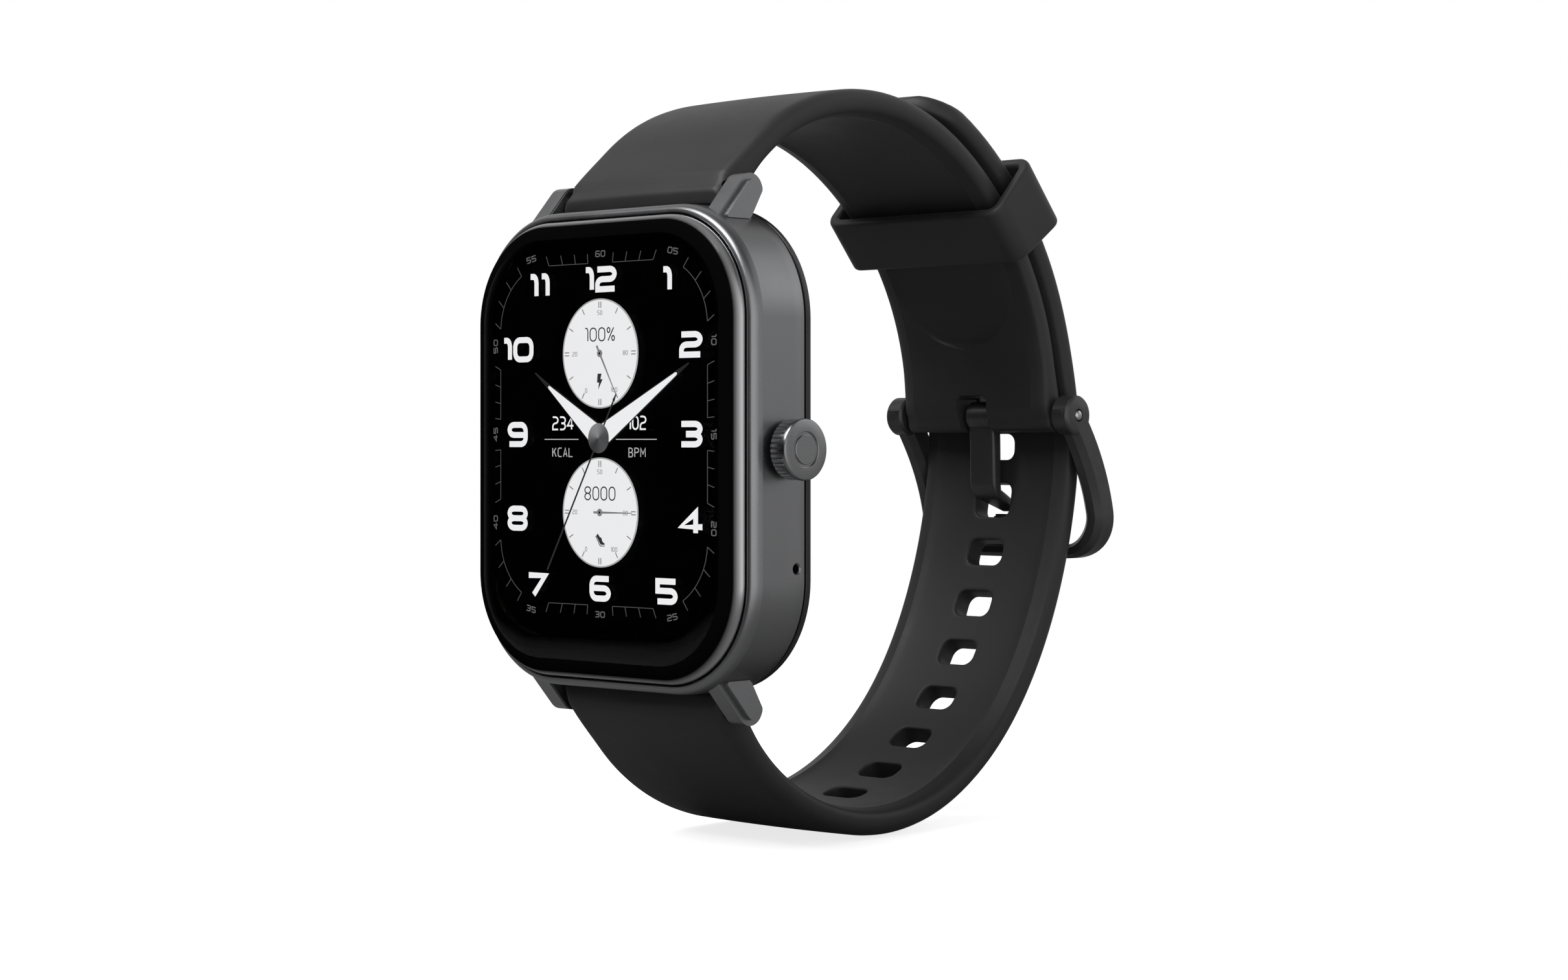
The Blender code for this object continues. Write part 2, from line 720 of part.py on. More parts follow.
def make_buckle_strap():
    length = BUCKLE_ROUTE.length
    middle = np.linspace(0.0, length, 21)
    stations = [
        *barrel_stations(LUG_BARREL),
        *middle,
        *(length - s for s in reversed(barrel_stations(BUCKLE_BARREL))),
    ]
    rings = []
    for along in stations:
        from_lug = barrel_half(along, LUG_BARREL)
        from_buckle = barrel_half(length - along, BUCKLE_BARREL)
        half = min(from_lug, from_buckle) if not 0 < along < length else max(from_lug, from_buckle)
        section = strap_section(strap_half_width(along), half, half)
        rings.append([BUCKLE_ROUTE.place(x, along, out, 1) for x, out in section])
    strap = loft("buckle_strap", "silicone", rings)
    cut_lug_end(strap, 1, "top")
    start = (-STRAP_HALF_WIDTH - 1, PIN_DEPTH, PIN_Z)
    length = 2 * STRAP_HALF_WIDTH + 2
    boolean(strap, rod("buckle_pin_bore", None, start, length, PIN_RADIUS + 0.15, "X", 16))
    low, high = (-2.1, PIN_DEPTH - 6, -3.0), (2.1, PIN_DEPTH + 6, 5.7)
    boolean(strap, block("tongue_notch", None, low, high))


def tail_offset(before_end):
    """How far the tail's centreline lies outside the buckle strap's, near the buckle and above."""
    beside_barrel = BUCKLE_BARREL + 0.25 + TAIL_HALF_THICK
    beside_strap = STRAP_HALF_THICK + 0.25 + TAIL_HALF_THICK
    return beside_barrel + (beside_strap - beside_barrel) * ease(before_end / 10.0)


def tail_points():
    """The tail's own route: outside the buckle strap, from the buckle back towards the case."""
    points = []
    for before_end in np.arange(0.0, TAIL_OVERLAP + 0.1, 4.75):
        along = BUCKLE_ROUTE.length - before_end
        _, depth, z = BUCKLE_ROUTE.place(0.0, along, tail_offset(before_end), 1)
        points.append((depth, z))
    return points


def hole_cutter(name, along, length):
    """A rounded prism through the strap, square to it."""
    ring_shape = outline(HOLE_WIDTH / 2, length / 2, 0.9, 0.0, steps=2)
    rings = []
    for out in (-4.0, 4.0):
        rings.append([HOLE_ROUTE.place(x, along + step, out, -1) for x, _, step in ring_shape])
    return loft(name, None, rings)


def along_at_height(z):
    """Length along the hole strap's route at a height near the buckle."""
    samples = np.linspace(60.0, HOLE_ROUTE.length - TAIL_OVERLAP, 300)
    return min(samples, key=lambda s: abs(HOLE_ROUTE.at(s)[1] - z))


def make_hole_strap():
    length = HOLE_ROUTE.length
    stations = [
        *barrel_stations(LUG_BARREL),
        *np.linspace(0.0, length - 5.0, 33),
        *(length - back for back in (3.6, 2.4, 1.2, 0.4, 0.0)),
    ]
    rings = []
    for along in stations:
        half = barrel_half(along, LUG_BARREL)
        thin = ease((along - 30.0) / 35.0) if along > 0 else 0.0
        half += thin * (TAIL_HALF_THICK - STRAP_HALF_THICK)
        half_width = strap_half_width(along)
        back = length - along
        if back < 5.0:
            half_width -= 5.0 * (1 - math.sqrt(1 - (1 - back / 5.0) ** 2))
            half *= 0.75 + 0.25 * back / 5.0
        section = strap_section(half_width, half, half)
        rings.append([HOLE_ROUTE.place(x, along, out, -1) for x, out in section])
    strap = loft("hole_strap", "silicone", rings)
    cut_lug_end(strap, -1, "bottom")
    tongue_hole = along_at_height(TONGUE_HOLE_Z)
    boolean(strap, hole_cutter("tongue_hole", tongue_hole, TONGUE_HOLE_LENGTH))
    for i in range(-HOLES_BELOW, HOLES_ABOVE + 1):
        if i != 0:
            along = tongue_hole + i * HOLE_PITCH
            boolean(strap, hole_cutter(f"hole_{i + HOLES_BELOW}", along, HOLE_LENGTH))


def make_keeper():
    inner_side = -(STRAP_HALF_THICK + KEEPER_CLEARANCE)
    outer_side = STRAP_HALF_THICK + 0.25 + 2 * TAIL_HALF_THICK + KEEPER_CLEARANCE
    middle = (inner_side + outer_side) / 2
    half_out = (outer_side - inner_side) / 2
    half_x = 10.5 + KEEPER_CLEARANCE
    stations = [KEEPER_AT + KEEPER_HALF_LENGTH * t for t in (-1.0, 0.0, 1.0)]

    def ring(along, grow):
        shape = outline(half_x + grow, half_out + grow, 0.5 + grow, 0.0, steps=3)
        return [BUCKLE_ROUTE.place(x, along, middle + out, 1) for x, _, out in shape]

    rings = [ring(s, KEEPER_WALL) for s in stations]
    rings += [ring(s, 0.0) for s in reversed(stations)]
    loft("strap_keeper", "silicone", rings, wrap=True, origin=(0.0, *keeper_pivot()))


def keeper_pivot():
    """The centre of curvature of the strap under the keeper."""
    step = 5.0
    before, after = BUCKLE_ROUTE.heading(KEEPER_AT - step), BUCKLE_ROUTE.heading(KEEPER_AT + step)
    turn = math.atan2(before[0] * after[1] - before[1] * after[0], float(before @ after))
    tangent = BUCKLE_ROUTE.heading(KEEPER_AT)
    normal = np.array((-tangent[1], tangent[0]))
    return tuple(BUCKLE_ROUTE.at(KEEPER_AT) + normal * 2 * step / turn)


# ---------------------------------------------------------------- buckle


def chamfered_square(flat_u, flat_v):
    """A square from -1 to 1 with its corners cut off, where the flats end at flat_u and flat_v."""
    return (
        (1, flat_v),
        (flat_u, 1),
        (-flat_u, 1),
        (-1, flat_v),
        (-1, -flat_v),
        (-flat_u, -1),
        (flat_u, -1),
        (1, -flat_v),
    )


def frame_depth(z):
    """The buckle frame curves outwards as it leaves the pin."""
    share = (PIN_Z - z) / (PIN_Z - BUCKLE_BOTTOM)
    return PIN_DEPTH + BUCKLE_REACH * (1 - (1 - share) ** 2)


def make_buckle():
    rod("buckle_pin", "steel", (-12.9, PIN_DEPTH, PIN_Z), 25.8, PIN_RADIUS, "X", 20)
    straight = PIN_Z + 0.6 - BUCKLE_BOTTOM - BUCKLE_CORNER
    side = [(ARM_X, PIN_Z + 0.6 - straight * t) for t in (0.0, 0.25, 0.5, 0.75, 1.0)]
    corner_x, corner_z = ARM_X - BUCKLE_CORNER, BUCKLE_BOTTOM + BUCKLE_CORNER
    arc = [
        (
            corner_x + BUCKLE_CORNER * math.cos(math.radians(angle)),
            corner_z - BUCKLE_CORNER * math.sin(math.radians(angle)),
        )
        for angle in (18, 36, 54, 72, 90)
    ]
    half_path = side + arc
    path = half_path + [(-x, z) for x, z in reversed(half_path)]
    rings = []
    for i, (x, z) in enumerate(path):
        before, after = path[max(i - 1, 0)], path[min(i + 1, len(path) - 1)]
        run = Vector((after[0] - before[0], after[1] - before[1])).normalized()
        across = Vector((-run.y, run.x))
        bar_share = ease((ARM_X - abs(x)) / BUCKLE_CORNER)
        half_across = ARM_HALF_WIDTH + bar_share * (BAR_HALF_HEIGHT - ARM_HALF_WIDTH)
        half_depth = ARM_HALF_DEPTH + bar_share * (BAR_HALF_DEPTH - ARM_HALF_DEPTH)
        ring = []
        for u, v in chamfered_square(0.6, 0.6):
            place = Vector((x, z)) + across * (u * half_across)
            ring.append((place.x, frame_depth(z) + v * half_depth, place.y))
        rings.append(ring)
    frame = loft("buckle_frame", "black_metal", rings, origin=(0.0, PIN_DEPTH, PIN_Z))
    for side_name, x in (("right", ARM_X - ARM_HALF_WIDTH), ("left", -ARM_X - ARM_HALF_WIDTH)):
        start = (x, PIN_DEPTH, PIN_Z)
        eye = rod(f"buckle_eye_{side_name}", None, start, 2 * ARM_HALF_WIDTH, 2.1, "X", 28)
        boolean(frame, eye, "UNION")
    rest_low, rest_high = (-3.0, 61.9, BUCKLE_BOTTOM), (3.0, 63.1, -7.3)
    boolean(frame, block("tongue_rest", None, rest_low, rest_high, 0.2), "UNION")
    pin_bore = rod(
        "frame_pin_bore", None, (-14.0, PIN_DEPTH, PIN_Z), 28.0, PIN_RADIUS + 0.08, "X", 20
    )
    boolean(frame, pin_bore)


def make_tongue():
    stations = (  # depth, z, half-width, half-thickness
        (56.9, 4.4, TONGUE_HALF_WIDTH, 0.7),
        (56.9, 2.6, TONGUE_HALF_WIDTH, 0.75),
        (57.0, 0.4, TONGUE_HALF_WIDTH, 0.72),
        (57.05, -3.0, TONGUE_HALF_WIDTH, 0.72),
        (57.5, -4.4, 1.7, 0.65),
        (58.7, -5.4, 1.45, 0.55),
        (61.4, -6.6, 1.1, 0.4),
    )
    rings = []
    for i, (depth, z, half_width, half) in enumerate(stations):
        before, after = stations[max(i - 1, 0)], stations[min(i + 1, len(stations) - 1)]
        run = Vector((after[0] - before[0], after[1] - before[1])).normalized()
        normal = Vector((-run.y, run.x))
        ring = []
        for u, v in chamfered_square(0.75, 0.5):
            ring.append((u * half_width, depth + normal.x * v * half, z + normal.y * v * half))
        rings.append(ring)
    tongue = loft("buckle_tongue", "black_metal", rings, origin=(0.0, PIN_DEPTH, PIN_Z))
    start = (-TONGUE_HALF_WIDTH, PIN_DEPTH, PIN_Z)
    boolean(tongue, rod("tongue_eye", None, start, 2 * TONGUE_HALF_WIDTH, 1.2, "X", 24), "UNION")
    bore_start = (-3.0, PIN_DEPTH, PIN_Z)
    boolean(tongue, rod("tongue_bore", None, bore_start, 6.0, PIN_RADIUS + 0.08, "X", 20))


# ---------------------------------------------------------------- assembly

clear_scene()
PARTS = new_collection("smartwatch")
GUIDES = new_collection("smartwatch_guides")
MATERIALS = {finish_name: make_material(finish_name) for finish_name in FINISHES}

BUCKLE_ROUTE = Route(BUCKLE_STRAP_POINTS)
HOLE_ROUTE = Route([*HOLE_STRAP_POINTS, *tail_points()])

make_case()
make_glass()
make_display()
make_chassis()
make_electronics()
make_motor()
make_back()
make_crown()
make_spring_bar(1, "top")
make_spring_bar(-1, "bottom")
make_buckle_strap()
make_hole_strap()
make_keeper()
make_buckle()
make_tongue()
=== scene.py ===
"""The look of the smartwatch: finer meshes, materials, dial, light and camera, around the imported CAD.

Places are (x, depth, z) in millimetres, as in the CAD: +X is towards the crown, +Z towards twelve
o'clock, and depth is measured backwards from the plane of the display.
"""

import math

import bmesh
import bpy
import numpy as np
from mathutils import Matrix, Vector


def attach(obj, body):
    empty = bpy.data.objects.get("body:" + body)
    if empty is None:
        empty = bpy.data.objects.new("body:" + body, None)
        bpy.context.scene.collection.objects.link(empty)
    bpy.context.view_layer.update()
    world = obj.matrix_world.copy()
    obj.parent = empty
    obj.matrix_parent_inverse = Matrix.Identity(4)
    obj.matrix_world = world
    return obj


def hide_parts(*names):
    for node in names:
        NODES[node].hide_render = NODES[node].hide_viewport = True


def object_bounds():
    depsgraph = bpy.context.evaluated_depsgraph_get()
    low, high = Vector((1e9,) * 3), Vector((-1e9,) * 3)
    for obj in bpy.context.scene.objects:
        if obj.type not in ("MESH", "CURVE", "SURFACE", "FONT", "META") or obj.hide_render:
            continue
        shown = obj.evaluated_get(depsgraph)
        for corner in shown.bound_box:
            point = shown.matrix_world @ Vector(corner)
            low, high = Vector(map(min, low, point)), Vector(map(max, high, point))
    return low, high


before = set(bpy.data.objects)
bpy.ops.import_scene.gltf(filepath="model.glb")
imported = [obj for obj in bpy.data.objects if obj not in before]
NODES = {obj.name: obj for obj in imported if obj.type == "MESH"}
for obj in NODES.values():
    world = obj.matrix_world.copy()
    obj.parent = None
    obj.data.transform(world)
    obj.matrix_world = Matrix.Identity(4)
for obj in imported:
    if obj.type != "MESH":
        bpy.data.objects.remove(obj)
CAD_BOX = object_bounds()

MM = 0.001
BACK_DEPTH = 10.0

# Case
CASE_HALF_WIDTH = 19.0
CASE_HALF_HEIGHT = 22.9
CASE_CORNER = 10.8
CASE_STEPS = 22
SIDE_CREASE_DEPTH = 2.3
SCREW_X = 14.07
SCREW_Z = 17.97
CONTACT_Z = -16.2

# Glass: where the opaque rim starts on the outside, over which depths it turns silver, and the
# half-width, half-height and corner of the opening in the print
RIM_START = (2.8, -0.63)
SILVER_DEPTHS = (-0.04, 0.7)
GLASS_OPENING = (15.75, 18.8, 7.3)

# Lugs and bars
LUG_INNER = 11.15
LUG_OUTER = 13.7
BAR_DEPTH = 6.6
BAR_Z = 24.3
LUG_TIP_RADIUS = 1.6
BAR_BORE = 1.1
LEVER_X = 6.4
LEVER_TRAVEL = 1.4

# Crown
CROWN_DEPTH = 5.35
CROWN_RADIUS = 2.85
CROWN_RIBS = 36
CROWN_BASE = 19.45
CROWN_FACE = 21.55
RIB_PATTERN = (0.0, 0.0, 0.0, 0.0, 0.0, 0.45, 1.0, 0.45)  # how deep the groove is round one rib

# Strap
STRAP_HALF_WIDTH = 10.9
STRAP_END_HALF_WIDTH = 10.1
STRAP_HALF_THICK = 1.4
TAIL_HALF_THICK = 1.35
END_BARREL = 1.8
BORDER = 1.9
DISH = 0.42
HOLE_PITCH = 5.95
HOLE_HALF_WIDTH = 2.35
HOLE_LENGTH = 2.9
HOLE_CORNER = 1.05
HOLE_LIP = 0.22
TONGUE_HOLE_LENGTH = 3.85
TONGUE_HOLE_Z = -5.83
HOLES_BELOW = 7
HOLES_ABOVE = 4
TAIL_OVERLAP = 38.0
BUCKLE_STRAP_POINTS = (
    (BAR_DEPTH, BAR_Z), (13.0, 30.2), (21.0, 33.6), (30.0, 34.1), (38.4, 31.6), (45.6, 26.7),
    (51.2, 20.1), (54.9, 12.2), (56.5, 3.5),
)
HOLE_STRAP_POINTS = (
    (BAR_DEPTH, -BAR_Z), (11.7, -30.5), (18.7, -35.0), (26.7, -37.0), (34.9, -36.4), (42.4, -33.3),
    (48.7, -28.2), (53.5, -21.7), (57.0, -14.2), (59.2, -6.3),
)

# Keeper
KEEPER_AT = 48.3
KEEPER_HALF_LENGTH = 3.5
KEEPER_WALL = 1.2
KEEPER_CLEARANCE = 0.4

# Buckle
PIN_DEPTH = 57.1
PIN_Z = 3.5
PIN_RADIUS = 0.6
ARM_X = 11.6
ARM_HALF_WIDTH = 1.15
ARM_HALF_DEPTH = 1.55
ARM_TOP_HALF_DEPTH = 1.95
BAR_HALF_HEIGHT = 0.75
BAR_HALF_DEPTH = 1.05
BUCKLE_BOTTOM = -11.2
BUCKLE_REACH = 5.6
BUCKLE_CORNER = 4.4
TONGUE_HALF_WIDTH = 1.75

# Dial
DIAL_X = 0.0
TRACK_Z = 1.41
HUB_Z = 1.04
SUBDIAL_RADIUS = 5.2
TRACK = (14.2, 16.2, 6.2)  # half-width, half-height and corner
SUBDIALS = ((9.06, "100%", 0.98, 150.3), (-5.99, "8000", 0.92, 90.0))  # z, text, width, hand
WHITE = 0.95

# Studio: places in metres; azimuth 0 is in front of the dial and 90 at the crown, in degrees
CAMERA_PLACE = (0.2027, -0.1989, 0.0008)
CAMERA_HEADING = (-0.6876, 0.7261, 0.0)
LENS = 67.05
LENS_SHIFT = -0.0314
KEY_SIZE = (0.5, 0.42)
KEY_POWER = 3.3
KEY_FROM = (-12.0, 54.0)
KEY_DISTANCE = 0.6
SKY_LEVELS = (0.05, 0.1)
FLOOR_FADE = (0.06, 0.17)
BLACK = (0.0, 0.0, 0.0)


# ---------------------------------------------------------------- helpers


def spot(x, depth, z):
    """A place in the watch, from millimetres to metres in the frame of the row."""
    return Vector((x, depth - BACK_DEPTH, z)) * MM


def ease(value):
    value = min(max(value, 0.0), 1.0)
    return value * value * (3 - 2 * value)


def finish_piece(piece, material, body, slot, *replaced):
    """Gives a piece its material, parents it to the body it rides on, and hides the CAD parts it replaces.
    """
    piece.data.materials.clear()
    piece.data.materials.append(material)
    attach(piece, body)
    if replaced:
        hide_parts(*replaced)
    return piece


def new_object(name, mesh):
    piece = bpy.data.objects.new(name, mesh)
    bpy.context.scene.collection.objects.link(piece)
    return piece


def shade(bm, sharp):
    """Smooth faces, and sharp edges at any angle above a limit in degrees."""
    for face in bm.faces:
        face.smooth = True
    for edge in bm.edges:
        if edge.calc_face_angle(0.0) > math.radians(sharp):
            edge.smooth = False


def from_bmesh(name, bm, sharp=35.0):
    bmesh.ops.recalc_face_normals(bm, faces=bm.faces)
    shade(bm, sharp)
    mesh = bpy.data.meshes.new(name)
    bm.to_mesh(mesh)
    bm.free()
    return new_object(name, mesh)


def skin(bm, rows, wrap=False):
    """Faces between closed rows of vertices, capped at both ends or joined end to end by wrap."""
    count = len(rows[0])
    for first, second in [*zip(rows, rows[1:]), *([(rows[-1], rows[0])] if wrap else [])]:
        for i in range(count):
            j = (i + 1) % count
            bm.faces.new((first[i], first[j], second[j], second[i]))
    if not wrap:
        bm.faces.new(reversed(rows[0]))
        bm.faces.new(rows[-1])


def loft(name, rings, wrap=False, sharp=35.0):
    """A piece with a skin through rings of places."""
    bm = bmesh.new()
    skin(bm, [[bm.verts.new(spot(*place)) for place in ring] for ring in rings], wrap)
    return from_bmesh(name, bm, sharp)


def turns(count):
    """Evenly spaced angles round a full turn."""
    return [2 * math.pi * i / count for i in range(count)]


def outline(half_width, half_height, corner, depth, centre=(0.0, 0.0), steps=CASE_STEPS):
    """A rounded rectangle facing the front, as a ring of places."""
    ring = []
    for quarter in range(4):
        middle_x = centre[0] + (1 if quarter in (0, 3) else -1) * (half_width - corner)
        middle_z = centre[1] + (1 if quarter in (0, 1) else -1) * (half_height - corner)
        for step in range(steps + 1):
            a = math.radians(90 * (quarter + step / steps))
            ring.append((middle_x + corner * math.cos(a), depth, middle_z + corner * math.sin(a)))
    return ring


def case_ring(inset, depth):
    return outline(CASE_HALF_WIDTH - inset, CASE_HALF_HEIGHT - inset, CASE_CORNER - inset, depth)


def corners():
    """The name, side and end of each corner of the case."""
    for end, end_name in ((1, "top"), (-1, "bottom")):
        for side, side_name in ((1, "right"), (-1, "left")):
            yield f"{end_name}_{side_name}", side, end


def turned(name, centre, axis, profile, segments=64, sharp=35.0):
    """A turned piece about a line through centre along X or Y; the profile holds (radius, height).

    A profile that starts and ends on the axis gives a solid piece, and any other one a ring.
    """
    solid = profile[0][0] == 0.0

    def place(radius, height, angle):
        a, b = radius * math.cos(angle), radius * math.sin(angle)
        offset = (height, a, b) if axis == "X" else (a, height, b)
        return [c + o for c, o in zip(centre, offset)]

    inner = profile[1:-1] if solid else profile
    rings = [[place(r, h, angle) for angle in turns(segments)] for r, h in inner]
    return loft(name, rings, not solid, sharp)


def rod(name, start, length, radius, axis="X", segments=48):
    profile = ((0.0, length), (radius, length), (radius, 0.0), (0.0, 0.0))
    return turned(name, start, axis, profile, segments)


def block(name, low, high, bevel=0.0):
    low, high = spot(*low), spot(*high)
    bm = bmesh.new()
    size = Matrix.Diagonal((*(high - low), 1.0))
    bmesh.ops.create_cube(bm, size=1.0, matrix=Matrix.Translation((low + high) / 2) @ size)
    if bevel:
        bmesh.ops.bevel(bm, geom=bm.edges, offset=bevel * MM, segments=3, affect="EDGES")
    return from_bmesh(name, bm)


def carve(piece, guides, sharp=35.0):
    """Joins the guides named add_ to a piece and cuts with the others, in turn; deletes them all."""
    for guide in guides:
        modifier = piece.modifiers.new(guide.name, "BOOLEAN")
        modifier.operation = "UNION" if guide.name.startswith("add_") else "DIFFERENCE"
        modifier.solver = "EXACT"
        modifier.object = guide
    bpy.context.view_layer.update()
    evaluated = piece.evaluated_get(bpy.context.evaluated_depsgraph_get())
    mesh = bpy.data.meshes.new_from_object(evaluated)
    mesh.name = piece.name
    piece.modifiers.clear()
    piece.data = mesh
    for guide in guides:
        bpy.data.objects.remove(guide, do_unlink=True)
    bm = bmesh.new()
    bm.from_mesh(mesh)
    bmesh.ops.remove_doubles(bm, verts=bm.verts, dist=0.002 * MM)
    bmesh.ops.dissolve_degenerate(bm, edges=bm.edges, dist=0.002 * MM)
    shade(bm, sharp)
    bm.to_mesh(mesh)
    bm.free()


class Route:
    """A natural cubic curve through (depth, z) points, read by the length along it."""

    SAMPLES = 4000
    REACH = 0.3

    def __init__(self, points):
        knots = np.array(points, dtype=float)
        chord = np.concatenate(([0.0], np.cumsum(np.linalg.norm(np.diff(knots, axis=0), axis=1))))
        gap = np.diff(chord)
        slope = np.diff(knots, axis=0) / gap[:, None]
        count = len(knots)
        system = np.eye(count)
        target = np.zeros((count, 2))
        for i in range(1, count - 1):
            system[i, i - 1 : i + 2] = gap[i - 1], 2 * (gap[i - 1] + gap[i]), gap[i]
            target[i] = 6 * (slope[i] - slope[i - 1])
        bend = np.linalg.solve(system, target)
        at = np.linspace(0.0, chord[-1], self.SAMPLES)
        span = np.clip(np.searchsorted(chord, at, side="right") - 1, 0, count - 2)
        left, right = (at - chord[span])[:, None], (chord[span + 1] - at)[:, None]
        width = gap[span][:, None]
        self.places = (
            (bend[span] * right**3 + bend[span + 1] * left**3) / (6 * width)
            + (knots[span] / width - bend[span] * width / 6) * right
            + (knots[span + 1] / width - bend[span + 1] * width / 6) * left
        )
        steps = np.linalg.norm(np.diff(self.places, axis=0), axis=1)
        self.lengths = np.concatenate(([0.0], np.cumsum(steps)))
        self.length = self.lengths[-1]

    def read(self, along):
        return np.stack([np.interp(along, self.lengths, column) for column in self.places.T], -1)

    def heading(self, along):
        """Unit tangents at an array of lengths."""
        low = np.clip(along - self.REACH, 0.0, self.length - 2 * self.REACH)
        tangent = self.read(low + 2 * self.REACH) - self.read(low)
        return tangent / np.linalg.norm(tangent, axis=-1, keepdims=True)

    def bent(self, flat, side):
        """(x, along, out) points carried to (x, depth, z) places; side is 1 where out is left."""
        flat = np.asarray(flat, dtype=float)
        along, out = flat[:, 1], flat[:, 2]
        inside = np.clip(along, 0.0, self.length)
        tangent = self.heading(inside)
        normal = side * np.stack((-tangent[:, 1], tangent[:, 0]), -1)
        place = self.read(inside) + (along - inside)[:, None] * tangent + out[:, None] * normal
        return np.column_stack((flat[:, 0], place))


BUCKLE_ROUTE = Route(BUCKLE_STRAP_POINTS)


def tail_points():
    """The tail's own route: outside the buckle strap, from the buckle back towards the case."""
    beside_barrel = END_BARREL + 0.25 + TAIL_HALF_THICK
    beside_strap = STRAP_HALF_THICK + 0.25 + TAIL_HALF_THICK
    before_end = np.arange(0.0, TAIL_OVERLAP + 0.1, 4.75)
    out = [beside_barrel + (beside_strap - beside_barrel) * ease(b / 10.0) for b in before_end]
    flat = np.column_stack((0 * before_end, BUCKLE_ROUTE.length - before_end, out))
    return [tuple(place[1:]) for place in BUCKLE_ROUTE.bent(flat, 1)]


HOLE_ROUTE = Route([*HOLE_STRAP_POINTS, *tail_points()])


# ---------------------------------------------------------------- materials


class Nodes:
    """Short ways to add nodes to a tree and wire them."""

    def __init__(self, tree):
        self.tree = tree

    def feed(self, socket, value):
        if isinstance(value, bpy.types.NodeSocket):
            self.tree.links.new(value, socket)
        else:
            socket.default_value = value

    def made(self, kind, *values, **settings):
        """The outputs of a node with these settings, whose first sockets get these values."""
        node = self.tree.nodes.new(kind)
        for key, value in settings.items():
            setattr(node, key, value)
        for socket, value in zip(node.inputs, values):
            self.feed(socket, value)
        return node.outputs

    def node(self, kind, **inputs):
        node = self.tree.nodes.new(kind)
        for key, value in inputs.items():
            self.feed(node.inputs[key.replace("_", " ")], value)
        return node

    def spread(self, value, low, high, from_low=0.3, from_high=0.7):
        return self.made("ShaderNodeMapRange", value, from_low, from_high, low, high)[0]

    def math(self, operation, first, second=0.0):
        return self.made("ShaderNodeMath", first, second, operation=operation)[0]


class Paint(Nodes):
    """A Principled material and its nodes."""

    def __init__(self, name, colour, roughness, metallic=0.0, **sockets):
        self.material = bpy.data.materials.new(name)
        self.material.use_nodes = True
        super().__init__(self.material.node_tree)
        self.shader = self.tree.nodes["Principled BSDF"]
        self.set(Base_Color=(*colour, 1.0), Roughness=roughness, Metallic=metallic, **sockets)
        self.place = self.node("ShaderNodeTexCoord").outputs["Object"]

    def set(self, **sockets):
        for socket, value in sockets.items():
            self.shader.inputs[socket.replace("_", " ")].default_value = value

    def noise(self, per_metre, detail=3.0, roughness=0.5, distortion=0.0, vector=None):
        vector = vector or self.place
        inputs = {"Scale": per_metre, "Detail": detail, "Roughness": roughness, "Distortion": distortion}
        return self.node("ShaderNodeTexNoise", Vector=vector, **inputs).outputs["Fac"]

    def stretched(self, x, y, z):
        return self.node("ShaderNodeMapping", Vector=self.place, Scale=(x, y, z)).outputs[0]

    def axes(self, vector=None):
        return self.node("ShaderNodeSeparateXYZ", Vector=vector or self.place).outputs

    def reach(self, first, second):
        """How far from an axis a point is, from its other two coordinates."""
        return self.math("SQRT", self.math("ADD", *(self.math("POWER", x, 2.0) for x in (first, second))))

    def mixed(self, share, first, second):
        node = self.tree.nodes.new("ShaderNodeMix")
        node.data_type = "RGBA"
        self.feed(node.inputs["Factor"], share)
        for index, value in ((6, first), (7, second)):
            self.feed(node.inputs[index], (*value, 1.0) if isinstance(value, tuple) else value)
        return node.outputs[2]

    def bump(self, height, strength, distance, under=None):
        node = self.node("ShaderNodeBump", Height=height, Strength=strength, Distance=distance)
        if under is not None:
            self.feed(node.inputs["Normal"], under)
        return node.outputs[0]

    def link(self, output, socket):
        self.tree.links.new(output, self.shader.inputs[socket])


def surface(paint, colours, noises, tint, rough=(), bumps=()):
    """Mixes two colours by a noise, and makes roughness and bump from noises too.

    noises maps a name to what Paint.noise takes; tint is a noise's name and its spread; rough holds
    what to add to the roughness, and bumps the strength and distance of each layer of bump.
    """
    made = {key: paint.noise(*values) for key, values in noises.items()}
    paint.link(paint.mixed(paint.spread(made[tint[0]], *tint[1:]), *colours), "Base Color")
    level = paint.shader.inputs["Roughness"].default_value
    for key, low, high in rough:
        level = paint.math("ADD", level, paint.spread(made[key], low, high))
    if rough:
        paint.link(level, "Roughness")
    normal = None
    for key, strength, distance in bumps:
        normal = paint.bump(made[key], strength, distance, normal)
    if bumps:
        paint.link(normal, "Normal")
    return paint.material


def blasted_metal(name, colour, grain_colour, roughness):
    """Bead-blasted, anodised aluminium: an even sparkle of grain, and soft cloudy variation."""
    paint = Paint(name, colour, roughness, 1.0)
    noises = {"grain": (9000.0, 2.0, 0.6), "cloud": (160.0, 2.0)}
    tint = ("grain", 0.0, 1.0, 0.35, 0.65)
    rough = (("cloud", -0.03, 0.03), ("grain", -0.03, 0.03))
    return surface(paint, (colour, grain_colour), noises, tint, rough, [("grain", 0.03, 0.00001)])


def silicone(name):
    """Moulded silicone: a satin skin with very fine tooth and faint handling marks."""
    colour, dusty = (0.03, 0.03, 0.0303), (0.038, 0.038, 0.0383)
    finish = {"Specular_IOR_Level": 0.36, "Sheen_Weight": 0.05, "Sheen_Roughness": 0.4}
    noises = {"cloud": (140.0, 4.0, 0.55), "tooth": (7000.0, 2.0, 0.6)}
    rough = (("cloud", 0.0, 0.09), ("tooth", -0.03, 0.03))
    bumps = (("cloud", 0.05, 0.0002), ("tooth", 0.22, 0.00002))
    paint = Paint(name, colour, 0.44, 0.0, **finish)
    return surface(paint, (colour, dusty), noises, ("cloud", 0.0, 0.6), rough, bumps)


